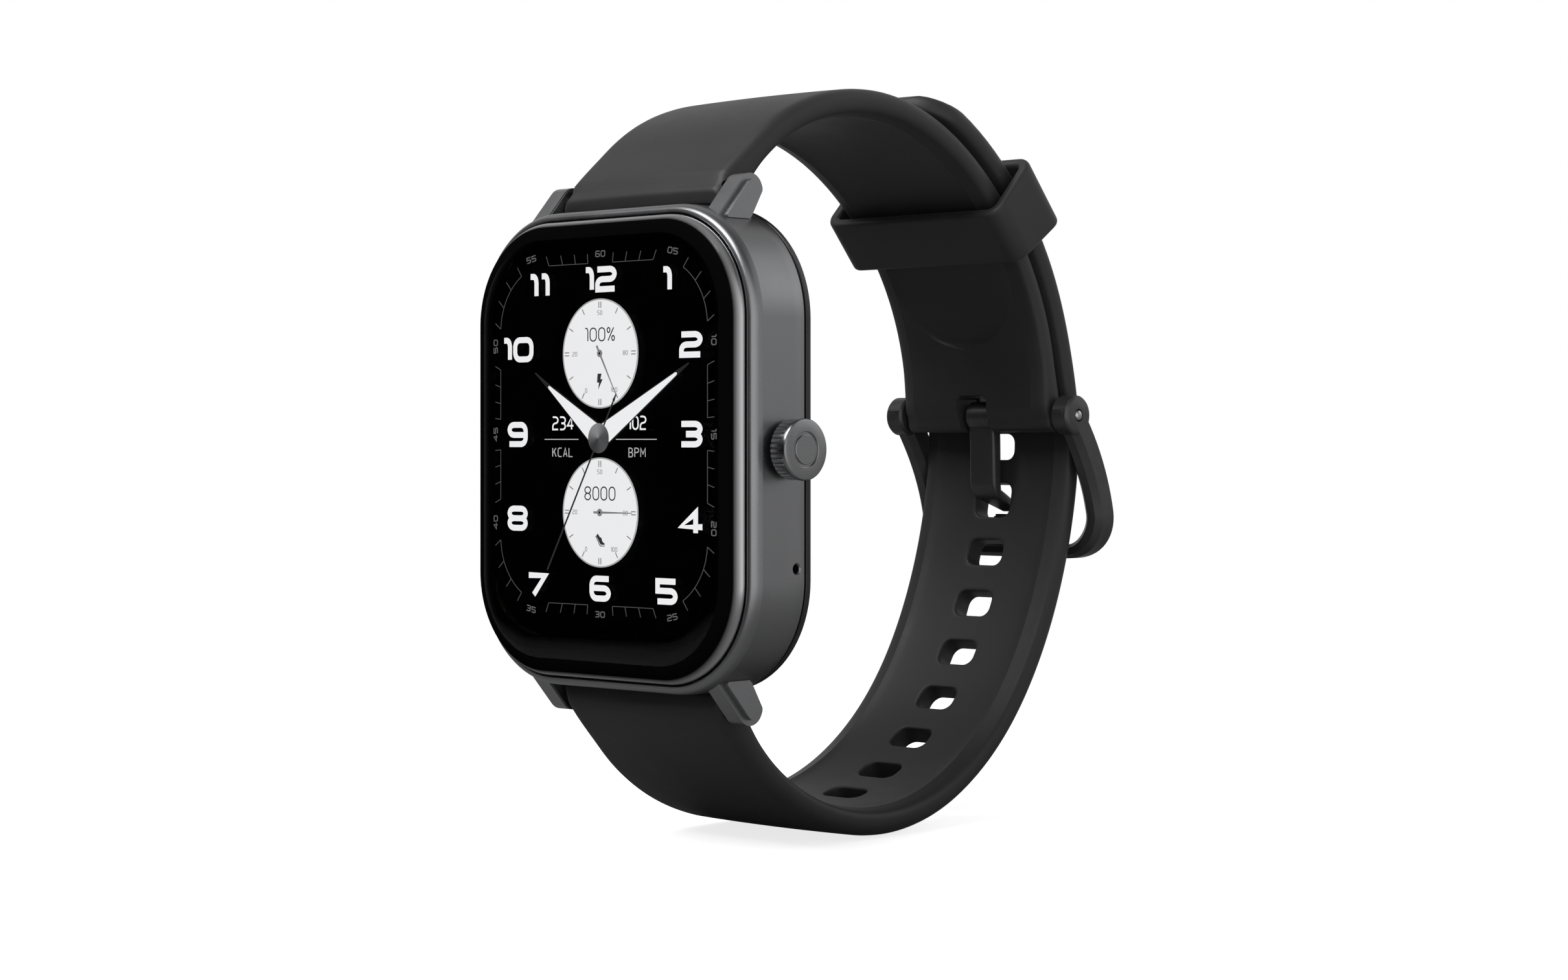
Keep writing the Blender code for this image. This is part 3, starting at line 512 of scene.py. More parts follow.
def coated_metal(name):
    """Black coated steel with a fine satin grain and slightly burnished patches."""
    colour, worn = (0.075, 0.075, 0.077), (0.1, 0.1, 0.102)
    noises = {"grain": (6500.0, 2.0, 0.6), "patch": (420.0, 3.0, 0.6)}
    rough = (("patch", 0.0, -0.1), ("grain", -0.04, 0.04))
    tint = ("patch", 0.0, 0.7, 0.45, 0.75)
    paint = Paint(name, colour, 0.4, 0.5)
    return surface(paint, (colour, worn), noises, tint, rough, [("grain", 0.2, 0.00002)])


def turned_steel(name, colour, roughness, along=(1.0, 1.0, 1.0)):
    """Bright metal with fine lines left by turning or brushing."""
    paint = Paint(name, colour, roughness, 1.0)
    noises = {"lines": (2500.0, 3.0, 0.6, 0.0, paint.stretched(*along)), "smear": (300.0, 2.0)}
    darker = tuple(0.82 * c for c in colour)
    rough = (("lines", -0.05, 0.07), ("smear", -0.03, 0.04))
    return surface(paint, (colour, darker), noises, ("lines", 0.0, 1.0), rough, [("lines", 0.15, 0.00001)])


def moulded_plastic(name, colour, roughness, tooth_scale=4200.0):
    """Injection-moulded plastic with a spark-eroded texture."""
    noises = {"tooth": (tooth_scale, 3.0, 0.65), "cloud": (120.0, 2.0)}
    lighter = tuple(1.5 * c + 0.002 for c in colour)
    rough, bumps = [("tooth", -0.06, 0.06)], [("tooth", 0.3, 0.00003)]
    paint = Paint(name, colour, roughness)
    return surface(paint, (colour, lighter), noises, ("cloud", 0.0, 0.8), rough, bumps)


def clear_glass(name):
    """Hardened cover glass with an anti-reflection coating, and the faintest uneven tint."""
    finish = {"Transmission_Weight": 1.0, "IOR": 1.45, "Specular_IOR_Level": 0.25}
    paint = Paint(name, (1.0, 1.0, 1.0), 0.0, 0.0, **finish)
    tint = paint.mixed(paint.noise(70.0, 2.0), (1.0, 1.0, 1.0), (0.985, 0.99, 0.995))
    paint.link(tint, "Base Color")
    return paint.material


def black_print(name):
    """Deep black ink behind the glass, which hardly reflects."""
    paint = Paint(name, BLACK, 0.6, 0.0, Specular_IOR_Level=0.0)
    inks = ((0.0008, 0.0008, 0.0008), (0.0014, 0.0014, 0.0015))
    return surface(paint, inks, {"dots": (12000.0, 2.0)}, ("dots", 0.0, 1.0))


def rim_print(name):
    """The polished edge of the glass: black where its print shows through, silvery at the rim."""
    paint = Paint(name, (0.5, 0.5, 0.51), 0.16, 1.0, Specular_IOR_Level=0.0)
    start, end = ((depth - BACK_DEPTH) * MM for depth in SILVER_DEPTHS)
    silver = paint.spread(paint.axes()["Y"], 0.0, 1.0, start, end)
    paint.link(paint.mixed(silver, (0.003, 0.003, 0.003), (0.62, 0.62, 0.63)), "Base Color")
    paint.link(silver, "Metallic")
    paint.link(paint.spread(paint.noise(300.0, 2.0), 0.14, 0.18), "Roughness")
    return paint.material


def glow(name, level):
    """Lit grey pixels of the display, with the fine grid between them."""
    light = (level, level, level * 1.01, 1.0)
    paint = Paint(name, BLACK, 0.5, 0.0, Specular_IOR_Level=0.0, Emission_Color=light)
    grid = paint.node("ShaderNodeTexChecker", Vector=paint.place, Scale=12000.0).outputs["Fac"]
    paint.link(paint.spread(grid, 0.97, 1.0, 0.0, 1.0), "Emission Strength")
    return paint.material


def hub_glow(name):
    """A picture of a spun metal cap: bright and dark sectors round the hub."""
    paint = Paint(name, BLACK, 0.5, Emission_Color=(0.95, 0.97, 1.0, 1.0))
    centre = spot(DIAL_X, 0.0, HUB_Z)
    shift = (-centre.x, 0.0, -centre.z)
    split = paint.axes(paint.node("ShaderNodeMapping", Vector=paint.place, Location=shift).outputs[0])
    angle = paint.math("ARCTAN2", split["Z"], split["X"])
    lit = 0.12
    for repeats, start, strength in ((1.0, 1.9, 0.09), (2.0, 2.1, 0.05)):
        turned_by = paint.math("MULTIPLY", paint.math("ADD", angle, -start), repeats)
        wave = paint.math("MULTIPLY", paint.math("COSINE", turned_by), strength)
        lit = paint.math("ADD", wave, lit)
    paint.link(paint.math("MAXIMUM", lit, 0.02), "Emission Strength")
    return paint.material


def circuit_board(name):
    """Green solder mask over copper tracks, with tinned pads and vias."""
    paint = Paint(name, (0.01, 0.09, 0.03), 0.35, 0.0, Coat_Weight=0.4)
    cells = paint.node("ShaderNodeTexVoronoi", Vector=paint.place, Scale=900.0)
    cells.distance = "MANHATTAN"
    tracks = paint.spread(cells.outputs["Distance"], 0.0, 1.0, 0.28, 0.34)
    dots = paint.node("ShaderNodeTexVoronoi", Vector=paint.place, Scale=650.0)
    pads = paint.spread(dots.outputs["Distance"], 1.0, 0.0, 0.12, 0.16)
    mask = paint.mixed(tracks, (0.006, 0.07, 0.022), (0.02, 0.15, 0.05))
    paint.link(paint.mixed(pads, mask, (0.7, 0.68, 0.62)), "Base Color")
    paint.link(pads, "Metallic")
    paint.link(paint.bump(tracks, 0.4, 0.00003), "Normal")
    return paint.material


def foil(name):
    """A pouch cell's wrinkled foil."""
    colour, crease = (0.35, 0.36, 0.38), (0.27, 0.28, 0.30)
    noises = {"wrinkle": (260.0, 5.0, 0.6, 0.8)}
    rough, bumps = [("wrinkle", 0.0, 0.16)], [("wrinkle", 0.5, 0.0002)]
    paint = Paint(name, colour, 0.26, 0.8)
    return surface(paint, (colour, crease), noises, ("wrinkle", 0.0, 1.0), rough, bumps)


def amber_film(name):
    """Polyimide film over copper tracks that run along it."""
    paint = Paint(name, (0.45, 0.2, 0.03), 0.3, 0.0, Coat_Weight=0.3)
    wave = paint.node("ShaderNodeTexWave", Vector=paint.place, Scale=380.0)
    tracks = paint.spread(wave.outputs["Fac"], 0.0, 1.0, 0.45, 0.55)
    paint.link(paint.mixed(tracks, (0.45, 0.19, 0.03), (0.62, 0.33, 0.07)), "Base Color")
    paint.link(paint.bump(tracks, 0.3, 0.00002), "Normal")
    return paint.material


def sensor_glass(name):
    """A dark polished window: windows for the light and the two photodiodes show faintly in it."""
    dark = (0.004, 0.005, 0.006)
    paint = Paint(name, dark, 0.05, 0.0, Coat_Weight=1.0, Coat_Roughness=0.03)
    x, _, z = paint.axes()
    radius = paint.reach(x, z)
    from_ring = paint.math("ABSOLUTE", paint.math("SUBTRACT", radius, 0.0072))
    across = paint.math("ABSOLUTE", paint.math("SUBTRACT", paint.math("ABSOLUTE", x), 0.0042))
    from_diode = paint.math("MAXIMUM", across, paint.math("MULTIPLY", paint.math("ABSOLUTE", z), 0.73))
    lit = dark
    for distance, inner, outer, colour in (
        (from_diode, 0.0011, 0.0012, (0.035, 0.02, 0.022)), (radius, 0.0015, 0.0016, (0.02, 0.09, 0.04)),
        (from_ring, 0.0001, 0.00016, (0.05, 0.05, 0.055)),
    ):
        lit = paint.mixed(paint.spread(distance, 1.0, 0.0, inner, outer), lit, colour)
    paint.link(lit, "Base Color")
    return paint.material


CASE_METAL = blasted_metal("anodised_case", (0.31, 0.312, 0.32), (0.34, 0.342, 0.35), 0.34)
CROWN_METAL = blasted_metal("anodised_crown", (0.31, 0.312, 0.318), (0.35, 0.352, 0.36), 0.27)
SILICONE = silicone("strap_silicone")
SEAL = moulded_plastic("seal_rubber", (0.012, 0.012, 0.012), 0.7, 3000.0)
BUCKLE_METAL = coated_metal("coated_buckle")
STEEL = turned_steel("bright_steel", (0.62, 0.62, 0.63), 0.22, (0.05, 1.0, 1.0))
BACK_PLASTIC = moulded_plastic("back_moulding", (0.016, 0.016, 0.017), 0.34)
INNER_PLASTIC = moulded_plastic("inner_moulding", (0.02, 0.02, 0.022), 0.5)
GLASS = clear_glass("cover_glass_clear")
MASK = black_print("glass_border_print")
RIM_PRINT = rim_print("glass_rim_print")
PANEL = black_print("display_black")

NODE_MATERIALS = {
    STEEL: "top_bar_tube bottom_bar_tube top_bar_pin bottom_bar_pin top_bar_release bottom_bar_release"
    " crown_tube crown_shaft crown_clip crown_plunger crown_bracket motor_rotor charge_magnet_left"
    " charge_magnet_right rear_screw_top_right rear_screw_top_left rear_screw_bottom_right"
    " rear_screw_bottom_left",
    INNER_PLASTIC: "chassis speaker crown_switch crown_encoder light_barrier",
    moulded_plastic("photodiode_black", (0.03, 0.012, 0.014), 0.2): "photodiode_left photodiode_right",
    circuit_board("solder_mask"): "main_board sensor_board",
    turned_steel("tinned_sheet", (0.6, 0.6, 0.58), 0.3, (1.0, 1.0, 0.06)): "shield_can motor_can motor_cap",
    foil("battery_foil"): "battery",
    turned_steel("gold_plate", (0.85, 0.6, 0.25), 0.22): "microphone antenna charge_contact_left"
    " charge_contact_right",
    amber_film("polyimide_film"): "display_flex",
    moulded_plastic("led_green", (0.15, 0.7, 0.25), 0.25): "sensor_led",
    PANEL: "display_panel",
}
for material, names in NODE_MATERIALS.items():
    for name in names.split():
        NODES[name].data.materials.clear()
        NODES[name].data.materials.append(material)


# ---------------------------------------------------------------- strap


def strap_half_width(along):
    share = ease((along - 12.0) / 45.0)
    return STRAP_HALF_WIDTH + share * (STRAP_END_HALF_WIDTH - STRAP_HALF_WIDTH)


def barrel_half(along, run=6.0):
    if along < 0.0:
        return math.sqrt(max(END_BARREL**2 - along**2, 0.0))
    return END_BARREL + (STRAP_HALF_THICK - END_BARREL) * ease(along / run)


MIDDLE = np.linspace(-4.0, 4.0, 13)
FLANK = 8  # columns between the middle zone and the rounded edge
EDGE_ROUNDING = 1.1
EDGE_ANGLES = np.radians(np.linspace(90, 0, 7))
FACET = ((0.0, 0.2), (0.03, 0.38), (0.12, 0.55), (0.27, 0.68), (0.45, 0.76))  # inset, share of h
LIP_ANGLES = [math.radians(a) for a in (0, 22, 45, 68, 90)]


def outer_height(x, w, h):
    return h * (1.0 - 0.1 * (x / w) ** 2)


def crease_x(along, w, dish_end):
    """How far the dish reaches to each side; it ends in a rounded outline past dish_end."""
    past = min(max(0.0, along - dish_end) / 9.0, 1.0)
    return max((w - BORDER) * math.sqrt(1 - past**2), 0.4)


def inner_height(x, along, w, h, dish_end):
    """The inner face: a shallow dish inside a plain border."""
    reach = crease_x(along, w, dish_end)
    hollow = max(0.0, 1.0 - (x / reach) ** 2)
    depth = DISH * min(1.0, h / STRAP_HALF_THICK) * min(1.0, (reach - 0.4) / 2.0)
    return -h + depth * math.sqrt(hollow)


def strap_loop(along, w, h, dish_end):
    """One ring of (x, out) points: outer face left to right, edge, inner face back, edge.

    The inner face's columns keep their places where holes go, and follow the dish's rounded end.
    """
    rounding = min(EDGE_ROUNDING, 0.8 * h)
    reach = w - rounding
    top, low_side = outer_height(reach, w, h), 0.1 * h
    right = [(x, outer_height(x, w, h)) for x in np.linspace(4.0, reach, FLANK + 1)[1:]]
    for a in EDGE_ANGLES[1:]:
        right.append((reach + rounding * math.cos(a), low_side + (top - low_side) * math.sin(a)))
    right += [(w - inset, -share * h) for inset, share in FACET]
    border_x = w - BORDER
    right += [((w - FACET[-1][0] + border_x) / 2, -0.89 * h), (border_x + 0.01, -h)]
    scale = crease_x(along, w, dish_end) / border_x
    inner_flank = np.linspace(border_x, 4.0, FLANK + 1)[:-1] * scale
    right += [(x, inner_height(x, along, w, h, dish_end)) for x in inner_flank]
    outer = [(x, outer_height(x, w, h)) for x in MIDDLE]
    inner = [(x * scale, inner_height(x * scale, along, w, h, dish_end)) for x in reversed(MIDDLE)]
    left = [(-x, out) for x, out in reversed(right)]
    return [*outer, *right, *inner, *left]


def hole_reach(dx, ds, half_x, half_s, corner):
    """How far a rounded rectangle's edge is from its centre along a direction."""
    low, high = 0.0, 2.0 * max(half_x, half_s)
    size = math.hypot(dx, ds)
    dx, ds = abs(dx) / size, abs(ds) / size
    for _ in range(28):
        middle = (low + high) / 2
        qx, qs = dx * middle - (half_x - corner), ds * middle - (half_s - corner)
        outside = math.hypot(max(qx, 0.0), max(qs, 0.0)) + min(max(qx, qs), 0.0) - corner
        low, high = (low, middle) if outside > 0 else (middle, high)
    return low


def strap(name, route, side, stations, shape, dish_end, cells=()):
    """A strap half built flat, with its holes and their rounded lips, then bent along its route.

    shape(along) gives (half-width, half-thickness). Each cell is (first row, last row, centre,
    hole length) and takes one hole.
    """
    loops = []
    for along in stations:
        w, h = shape(along)
        loops.append([(x, along, out) for x, out in strap_loop(along, w, h, dish_end)])
    count, columns = len(loops[0]), len(MIDDLE)
    side_columns = (count - 2 * columns) // 2
    inner_first = side_columns + columns
    flat = [point for loop in loops for point in loop]
    faces = []

    def bridge(first, second):
        for k in range(len(first)):
            n = (k + 1) % len(first)
            faces.append((first[k], first[n], second[n], second[k]))

    def lip_ring(rim, is_inner, centre, length, share, angle):
        """A ring of the hole's edge: share of the way in from the rim, and angle over its lip."""
        ring = []
        for index in rim:
            dx, ds = flat[index][0], flat[index][1] - centre
            lip = HOLE_LIP if angle is None else HOLE_LIP * (1 - math.sin(angle))
            edge = hole_reach(dx, ds, HOLE_HALF_WIDTH + lip, length / 2 + lip, HOLE_CORNER + lip)
            full = math.hypot(dx, ds)
            radius = full + (edge - full) * share
            x, along = dx * radius / full, centre + ds * radius / full
            w, h = shape(along)
            out = inner_height(x, along, w, h, dish_end) if is_inner else outer_height(x, w, h)
            if angle is not None:
                out += HOLE_LIP * (1 - math.cos(angle)) * (1 if is_inner else -1)
            ring.append(len(flat))
            flat.append((x, along, out))
        return ring

    skipped = set()
    for first, last, _, _ in cells:
        for row in range(first, last):
            for step in range(columns - 1):
                skipped |= {(row, step), (row, inner_first + step)}
    for row in range(len(loops) - 1):
        for i in range(count):
            if (row, i) not in skipped:
                j = (i + 1) % count
                here, there = row * count, (row + 1) * count
                faces.append((here + i, here + j, there + j, there + i))
    faces.append(tuple(reversed(range(count))))
    faces.append(tuple(range((len(loops) - 1) * count, len(loops) * count)))

    for first, last, centre, length in cells:
        walls = []
        for is_inner in (False, True):
            start = inner_first if is_inner else 0
            rim = [first * count + start + i for i in range(columns - 1)]
            rim += [row * count + start + columns - 1 for row in range(first, last)]
            rim += [last * count + start + i for i in range(columns - 1, 0, -1)]
            rim += [row * count + start for row in range(last, first, -1)]
            if is_inner:
                corner = flat[outer_rim[0]][:2]
                pick = min(range(len(rim)), key=lambda k: math.dist(flat[rim[k]][:2], corner))
                rim = [rim[(pick - k) % len(rim)] for k in range(len(rim))]
            else:
                outer_rim = rim
            previous = rim
            for share, angle in ((0.45, None), (0.8, None), *((1.0, a) for a in LIP_ANGLES)):
                ring = lip_ring(rim, is_inner, centre, length, share, angle)
                bridge(previous, ring)
                previous = ring
            walls.append(previous)
        bridge(*walls)

    places = route.bent(flat, side)
    places[:, 1] -= BACK_DEPTH
    bm = bmesh.new()
    verts = [bm.verts.new(place) for place in places * MM]
    for face in faces:
        bm.faces.new([verts[i] for i in face])
    crease = inner_first - FLANK
    mirrored = count - 1 - (crease - columns)
    for row in range(len(loops) - 1):
        for index in (crease - 1, crease, mirrored, mirrored + 1):
            edge = bm.edges.get((verts[row * count + index], verts[(row + 1) * count + index]))
            if edge:
                edge.smooth = False
    bmesh.ops.delete(bm, geom=[v for v in bm.verts if not v.link_faces], context="VERTS")
    return from_bmesh(name, bm, 50.0)


def barrel_stations():
    return [-END_BARREL * math.cos(math.radians(a)) for a in (9, 18, 30, 42, 55, 70)]


def lug_end_cuts(end, end_name):
    """The bore for the spring bar and the pocket for its release lever."""
    start = (-STRAP_HALF_WIDTH - 1, BAR_DEPTH, end * BAR_Z)
    bore = rod(f"cut_bore_{end_name}", start, 2 * STRAP_HALF_WIDTH + 2, BAR_BORE, segments=32)
    low = (LEVER_X - LEVER_TRAVEL - 1.0, BAR_DEPTH, end * BAR_Z - 0.9)
    high = (LEVER_X + 1.0, BAR_DEPTH + 6.0, end * BAR_Z + 0.9)
    pocket = block(f"cut_pocket_{end_name}", low, high, 0.25)
    return [bore, pocket]


def make_buckle_band():
    length = BUCKLE_ROUTE.length
    flat_rows = np.linspace(0.0, length, 104)
    stations = [*barrel_stations(), *flat_rows, *(length - s for s in reversed(barrel_stations()))]

    def shape(along):
        from_lug, from_buckle = barrel_half(along), barrel_half(length - along)
        if 0 < along < length:
            return strap_half_width(along), max(from_lug, from_buckle)
        return strap_half_width(along), min(from_lug, from_buckle)

    band = strap("buckle_band", BUCKLE_ROUTE, 1, stations, shape, length - 16.5)
    pin_start = (-STRAP_HALF_WIDTH - 1, PIN_DEPTH, PIN_Z)
    bore = rod("cut_pin", pin_start, 2 * STRAP_HALF_WIDTH + 2, PIN_RADIUS + 0.15, segments=32)
    low, high = (-2.1, PIN_DEPTH - 6, -3.0), (2.1, PIN_DEPTH + 6, 5.7)
    notch = block("cut_notch", low, high, 0.4)
    cuts = [*lug_end_cuts(1, "top"), bore, notch]
    carve(band, cuts, 50.0)
    finish_piece(band, SILICONE, "watch", "strap_silicone", "buckle_strap")


def make_hole_band():
    length = HOLE_ROUTE.length
    samples = np.linspace(60.0, length - TAIL_OVERLAP, 300)
    tongue_hole = samples[np.argmin(abs(HOLE_ROUTE.read(samples)[:, 1] - TONGUE_HOLE_Z))]
    first = tongue_hole - (HOLES_BELOW + 0.5) * HOLE_PITCH
    last = tongue_hole + (HOLES_ABOVE + 0.5) * HOLE_PITCH
    rows_per_cell = 12
    holes = HOLES_BELOW + HOLES_ABOVE + 1
    before = [*barrel_stations(), *np.linspace(0.0, first, 62)[:-1]]
    cell_rows = np.linspace(first, last, holes * rows_per_cell + 1)
    tip = length - 5.0
    after = np.linspace(last, tip, 14)[1:]
    ends = (4.2, 3.4, 2.6, 1.9, 1.3, 0.8, 0.45, 0.2, 0.05)
    stations = [*before, *cell_rows, *after, *(length - back for back in ends)]
    cells = []
    for i in range(holes):
        row = len(before) + i * rows_per_cell
        centre = tongue_hole + (i - HOLES_BELOW) * HOLE_PITCH
        hole_length = TONGUE_HOLE_LENGTH if i == HOLES_BELOW else HOLE_LENGTH
        cells.append((row, row + rows_per_cell, centre, hole_length))

    def shape(along):
        thin = ease((along - 30.0) / 35.0) if along > 0 else 0.0
        half = barrel_half(along) + thin * (TAIL_HALF_THICK - STRAP_HALF_THICK)
        half_width = strap_half_width(along)
        back = length - along
        if back < 5.0:
            half_width -= 5.0 * (1 - math.sqrt(1 - (1 - back / 5.0) ** 2))
            half *= 0.75 + 0.25 * back / 5.0
            half *= math.sqrt(min(1.0, max(back, 0.02) / 0.9))
        return half_width, half

    band = strap("hole_band", HOLE_ROUTE, -1, stations, shape, length + 99.0, cells)
    carve(band, lug_end_cuts(-1, "bottom"), 50.0)
    finish_piece(band, SILICONE, "watch", "strap_silicone", "hole_strap")


def make_keeper():
    """A moulded loop whose four long edges are rounded."""
    inner_side = -(STRAP_HALF_THICK + KEEPER_CLEARANCE)
    outer_side = STRAP_HALF_THICK + 0.25 + 2 * TAIL_HALF_THICK + KEEPER_CLEARANCE
    middle, half_out = (inner_side + outer_side) / 2, (outer_side - inner_side) / 2
    half_x = 10.5 + KEEPER_CLEARANCE
    edge = 0.45
    end = KEEPER_HALF_LENGTH - edge
    top = KEEPER_WALL - edge
    starts = ((end, top, 0), (-end, top, 90), (-end, edge, 180), (end, edge, 270))
    rings = []
    for centre_l, centre_t, start in starts:
        for angle in np.radians(start + np.linspace(0, 90, 5)):
            along = KEEPER_AT + centre_l + edge * math.cos(angle)
            out = centre_t + edge * math.sin(angle)
            shape = outline(half_x + out, half_out + out, 0.7 + out, 0.0, steps=8)
            flat = []
            for here, after in zip(shape, shape[1:] + shape[:1]):
                stops = np.linspace(0.0, 1.0, 9)[:-1] if math.dist(here, after) > 2.0 else (0.0,)
                for share in stops:
                    x, z = (a + share * (b - a) for a, b in ((here[0], after[0]), (here[2], after[2])))
                    flat.append((x, along, middle + z))
            rings.append(BUCKLE_ROUTE.bent(flat, 1))
    keeper = loft("keeper_band", rings, wrap=True, sharp=60.0)
    finish_piece(keeper, SILICONE, "keeper", "strap_silicone", "strap_keeper")


# ---------------------------------------------------------------- case


def lug(name, side, end):
    base = CASE_HALF_HEIGHT - 2.0
    tip = []
    for angle in np.radians(np.linspace(0, 138, 19)):
        depth = BAR_DEPTH + 0.15 + LUG_TIP_RADIUS * math.cos(angle)
        tip.append((depth, BAR_Z - 0.1 + LUG_TIP_RADIUS * math.sin(angle)))
    shape = [(6.4, base), *tip, (2.4, base + 0.8), (3.0, base)]
    bm = bmesh.new()
    ends = (LUG_INNER, LUG_OUTER)
    skin(bm, [[bm.verts.new(spot(side * x, depth, end * z)) for depth, z in shape] for x in ends])
    bmesh.ops.recalc_face_normals(bm, faces=bm.faces)
    for x, rounding, segments in ((LUG_OUTER, 0.55, 6), (LUG_INNER, 0.12, 2)):
        soft = [e for e in bm.edges if all(abs(v.co.x - side * x * MM) < 1e-6 for v in e.verts)]
        bmesh.ops.bevel(bm, geom=soft, offset=rounding * MM, segments=segments, affect="EDGES")
    return from_bmesh(name, bm)


def make_case():
    profile = (
        (0.86, 1.5), (0.86, 1.13), (0.83, 1.08), (0.76, 1.06), (0.7, 1.08), (0.6, 1.09), (0.46, 1.13),
        (0.34, 1.22), (0.22, 1.38), (0.13, 1.58), (0.06, 1.87), (0.0, SIDE_CREASE_DEPTH), (0.0, 3.7),
        (0.0, 5.1), (0.0, 6.5), (0.0, 7.72), (0.05, 7.85), (0.18, 7.9), (1.6, 7.9), (1.6, 3.4),
        (2.4, 3.4), (2.4, 2.6), (0.86, 2.6),
    )
    case = loft("case_body", [case_ring(*p) for p in profile], wrap=True)
    work = []
    for where, side, end in corners():
        x, z = side * SCREW_X, end * SCREW_Z
        work.append(lug(f"add_lug_{where}", side, end))
        work.append(rod(f"add_post_{where}", (x, 3.2, z), 4.2, 1.5, "Y", 24))
        work.append(rod(f"cut_tap_{where}", (x, 4.6, z), 6.0, 0.65, "Y", 16))
        if side < 0:
            for kind, past, radius, segments in (("bar_holes", 1.4, 0.6, 24), ("channel", -0.05, 2.1, 64)):
                start = (-LUG_INNER - past, BAR_DEPTH, end * BAR_Z)
                length = 2 * (LUG_INNER + past)
                bar_cut = rod(f"cut_{kind}_{where}", start, length, radius, segments=segments)
                work.append(bar_cut)
    work.append(rod("cut_crown", (16.0, CROWN_DEPTH, 0.0), 5.0, 1.5))
    mic_profile = ((0.0, 5.0), (0.75, 5.0), (0.6, 3.05), (0.44, 2.85), (0.44, 0.0), (0.0, 0.0))
    work.append(turned("cut_microphone", (16.0, 6.8, -11.0), "X", mic_profile, 32))
    for i in range(3):
        z = -15.0 + 3.0 * i
        low, high = (-CASE_HALF_WIDTH - 1, 5.4, z - 0.9), (-CASE_HALF_WIDTH + 3, 6.2, z + 0.9)
        work.append(block(f"cut_speaker_{i + 1}", low, high, 0.36))
    carve(case, work)
    crease_y = (SIDE_CREASE_DEPTH - BACK_DEPTH) * MM
    for edge in case.data.edges:
        if all(abs(case.data.vertices[v].co.y - crease_y) < 0.005 * MM for v in edge.vertices):
            edge.use_edge_sharp = True
    finish_piece(case, CASE_METAL, "watch", "case_metal", "case_frame")


def make_glass():
    outside = (
        (1.06, 1.3), (1.0, 1.24), (1.0, 0.95), (1.03, 0.74), (1.1, 0.55), (1.2, 0.37), (1.34, 0.17),
        (1.52, -0.03), (1.74, -0.21), (2.02, -0.37), (2.36, -0.51), RIM_START, (3.3, -0.73),
        (3.9, -0.815), (4.6, -0.88), (5.6, -0.925), (7.2, -0.95),
    )
    inside = (
        (7.0, -0.15), (5.0, -0.15), (3.4, -0.15), (2.9, -0.13), (2.5, -0.05), (2.2, 0.09), (1.98, 0.29),
        (1.82, 0.54), (1.74, 0.85), (1.72, 1.3),
    )
    glass = loft("cover_glass_fine", [case_ring(*p) for p in (*inside, *outside)], sharp=50.0)
    finish_piece(glass, GLASS, "watch", "cover_glass", "cover_glass")
    glass.data.materials.append(RIM_PRINT)
    per_ring = 4 * (CASE_STEPS + 1)
    first, last = len(inside) - 1, len(inside) + outside.index(RIM_START)
    for face in glass.data.polygons[first * per_ring : last * per_ring]:
        face.material_index = 1

    gap = 0.04
    front = [(inset + gap, depth + gap) for inset, depth in inside[3:]]
    under = [(2.1, 1.34), (2.2, 0.8), (2.5, 0.4), (3.4, 0.1)]
    opening, opening_under = (outline(*GLASS_OPENING, depth, (0.0, 0.9)) for depth in (-0.06, 0.1))
    rings = [opening, *(case_ring(*p) for p in ((3.2, -0.1), *front, *under)), opening_under]
    finish_piece(loft("glass_border", rings, wrap=True), MASK, "watch", "cover_glass")


def seal_ring(name, inset, depth, half_wide, half_high, node):
    """A moulded gasket with a rounded section."""
    section = [(inset + half_wide * math.cos(a), depth + half_high * math.sin(a)) for a in turns(12)]
    ring = loft(name, [case_ring(*p) for p in section], wrap=True, sharp=80.0)
    finish_piece(ring, SEAL, "watch", "seal_rubber", node)


def make_back():
    profile = (
        (3.2, 8.5), (3.0, 8.2), (1.4, 8.2), (1.35, 8.65), (0.7, 8.65), (0.65, 8.2), (0.16, 8.2),
        (0.1, 8.26), (0.1, 8.7), (0.16, 8.84), (0.3, 8.98), (0.5, 9.09), (0.8, 9.18), (1.3, 9.28),
        (2.0, 9.37), (3.0, 9.46), (4.2, 9.54), (5.6, 9.6),
    )
    cover = loft("rear_shell", [case_ring(*p) for p in profile], sharp=40.0)
    boss_profile = (
        (0.0, 0.85), (11.4, 0.85), (11.8, 0.82), (12.2, 0.73), (12.6, 0.58), (13.2, 0.3), (13.6, 0.0),
        (0.0, 0.0),
    )
    seat = ((0.0, 5.0), (9.8, 5.0), (9.8, 2.0), (8.3, 2.0), (8.3, 0.0), (0.0, 0.0))
    work = [
        turned("add_boss", (0.0, 9.0, 0.0), "Y", boss_profile, 96),
        turned("cut_seat", (0.0, 7.0, 0.0), "Y", seat, 96),
    ]
    for side_name, x in (("right", 1.8), ("left", -1.8)):
        contact = rod(f"cut_contact_{side_name}", (x, 7.0, CONTACT_Z), 4.0, 1.15, "Y", 40)
        work.append(contact)
    for where, side, end in corners():
        x, z = side * SCREW_X, end * SCREW_Z
        work.append(rod(f"cut_hole_{where}", (x, 7.0, z), 4.0, 0.85, "Y", 24))
        work.append(rod(f"cut_head_{where}", (x, 8.8, z), 3.0, 1.35, "Y", 40))
    carve(cover, work, 40.0)
    finish_piece(cover, BACK_PLASTIC, "watch", "back_plastic", "rear_cover")
    lens_profile = ((0.0, 0.8), (9.1, 0.8), (9.3, 0.76), (9.44, 0.66), (9.5, 0.5), (9.5, 0.0), (0.0, 0.0))
    lens = turned("sensor_lens", (0.0, 9.2, 0.0), "Y", lens_profile, 96)
    finish_piece(lens, sensor_glass("sensor_glass"), "watch", "sensor_lens", "sensor_window")


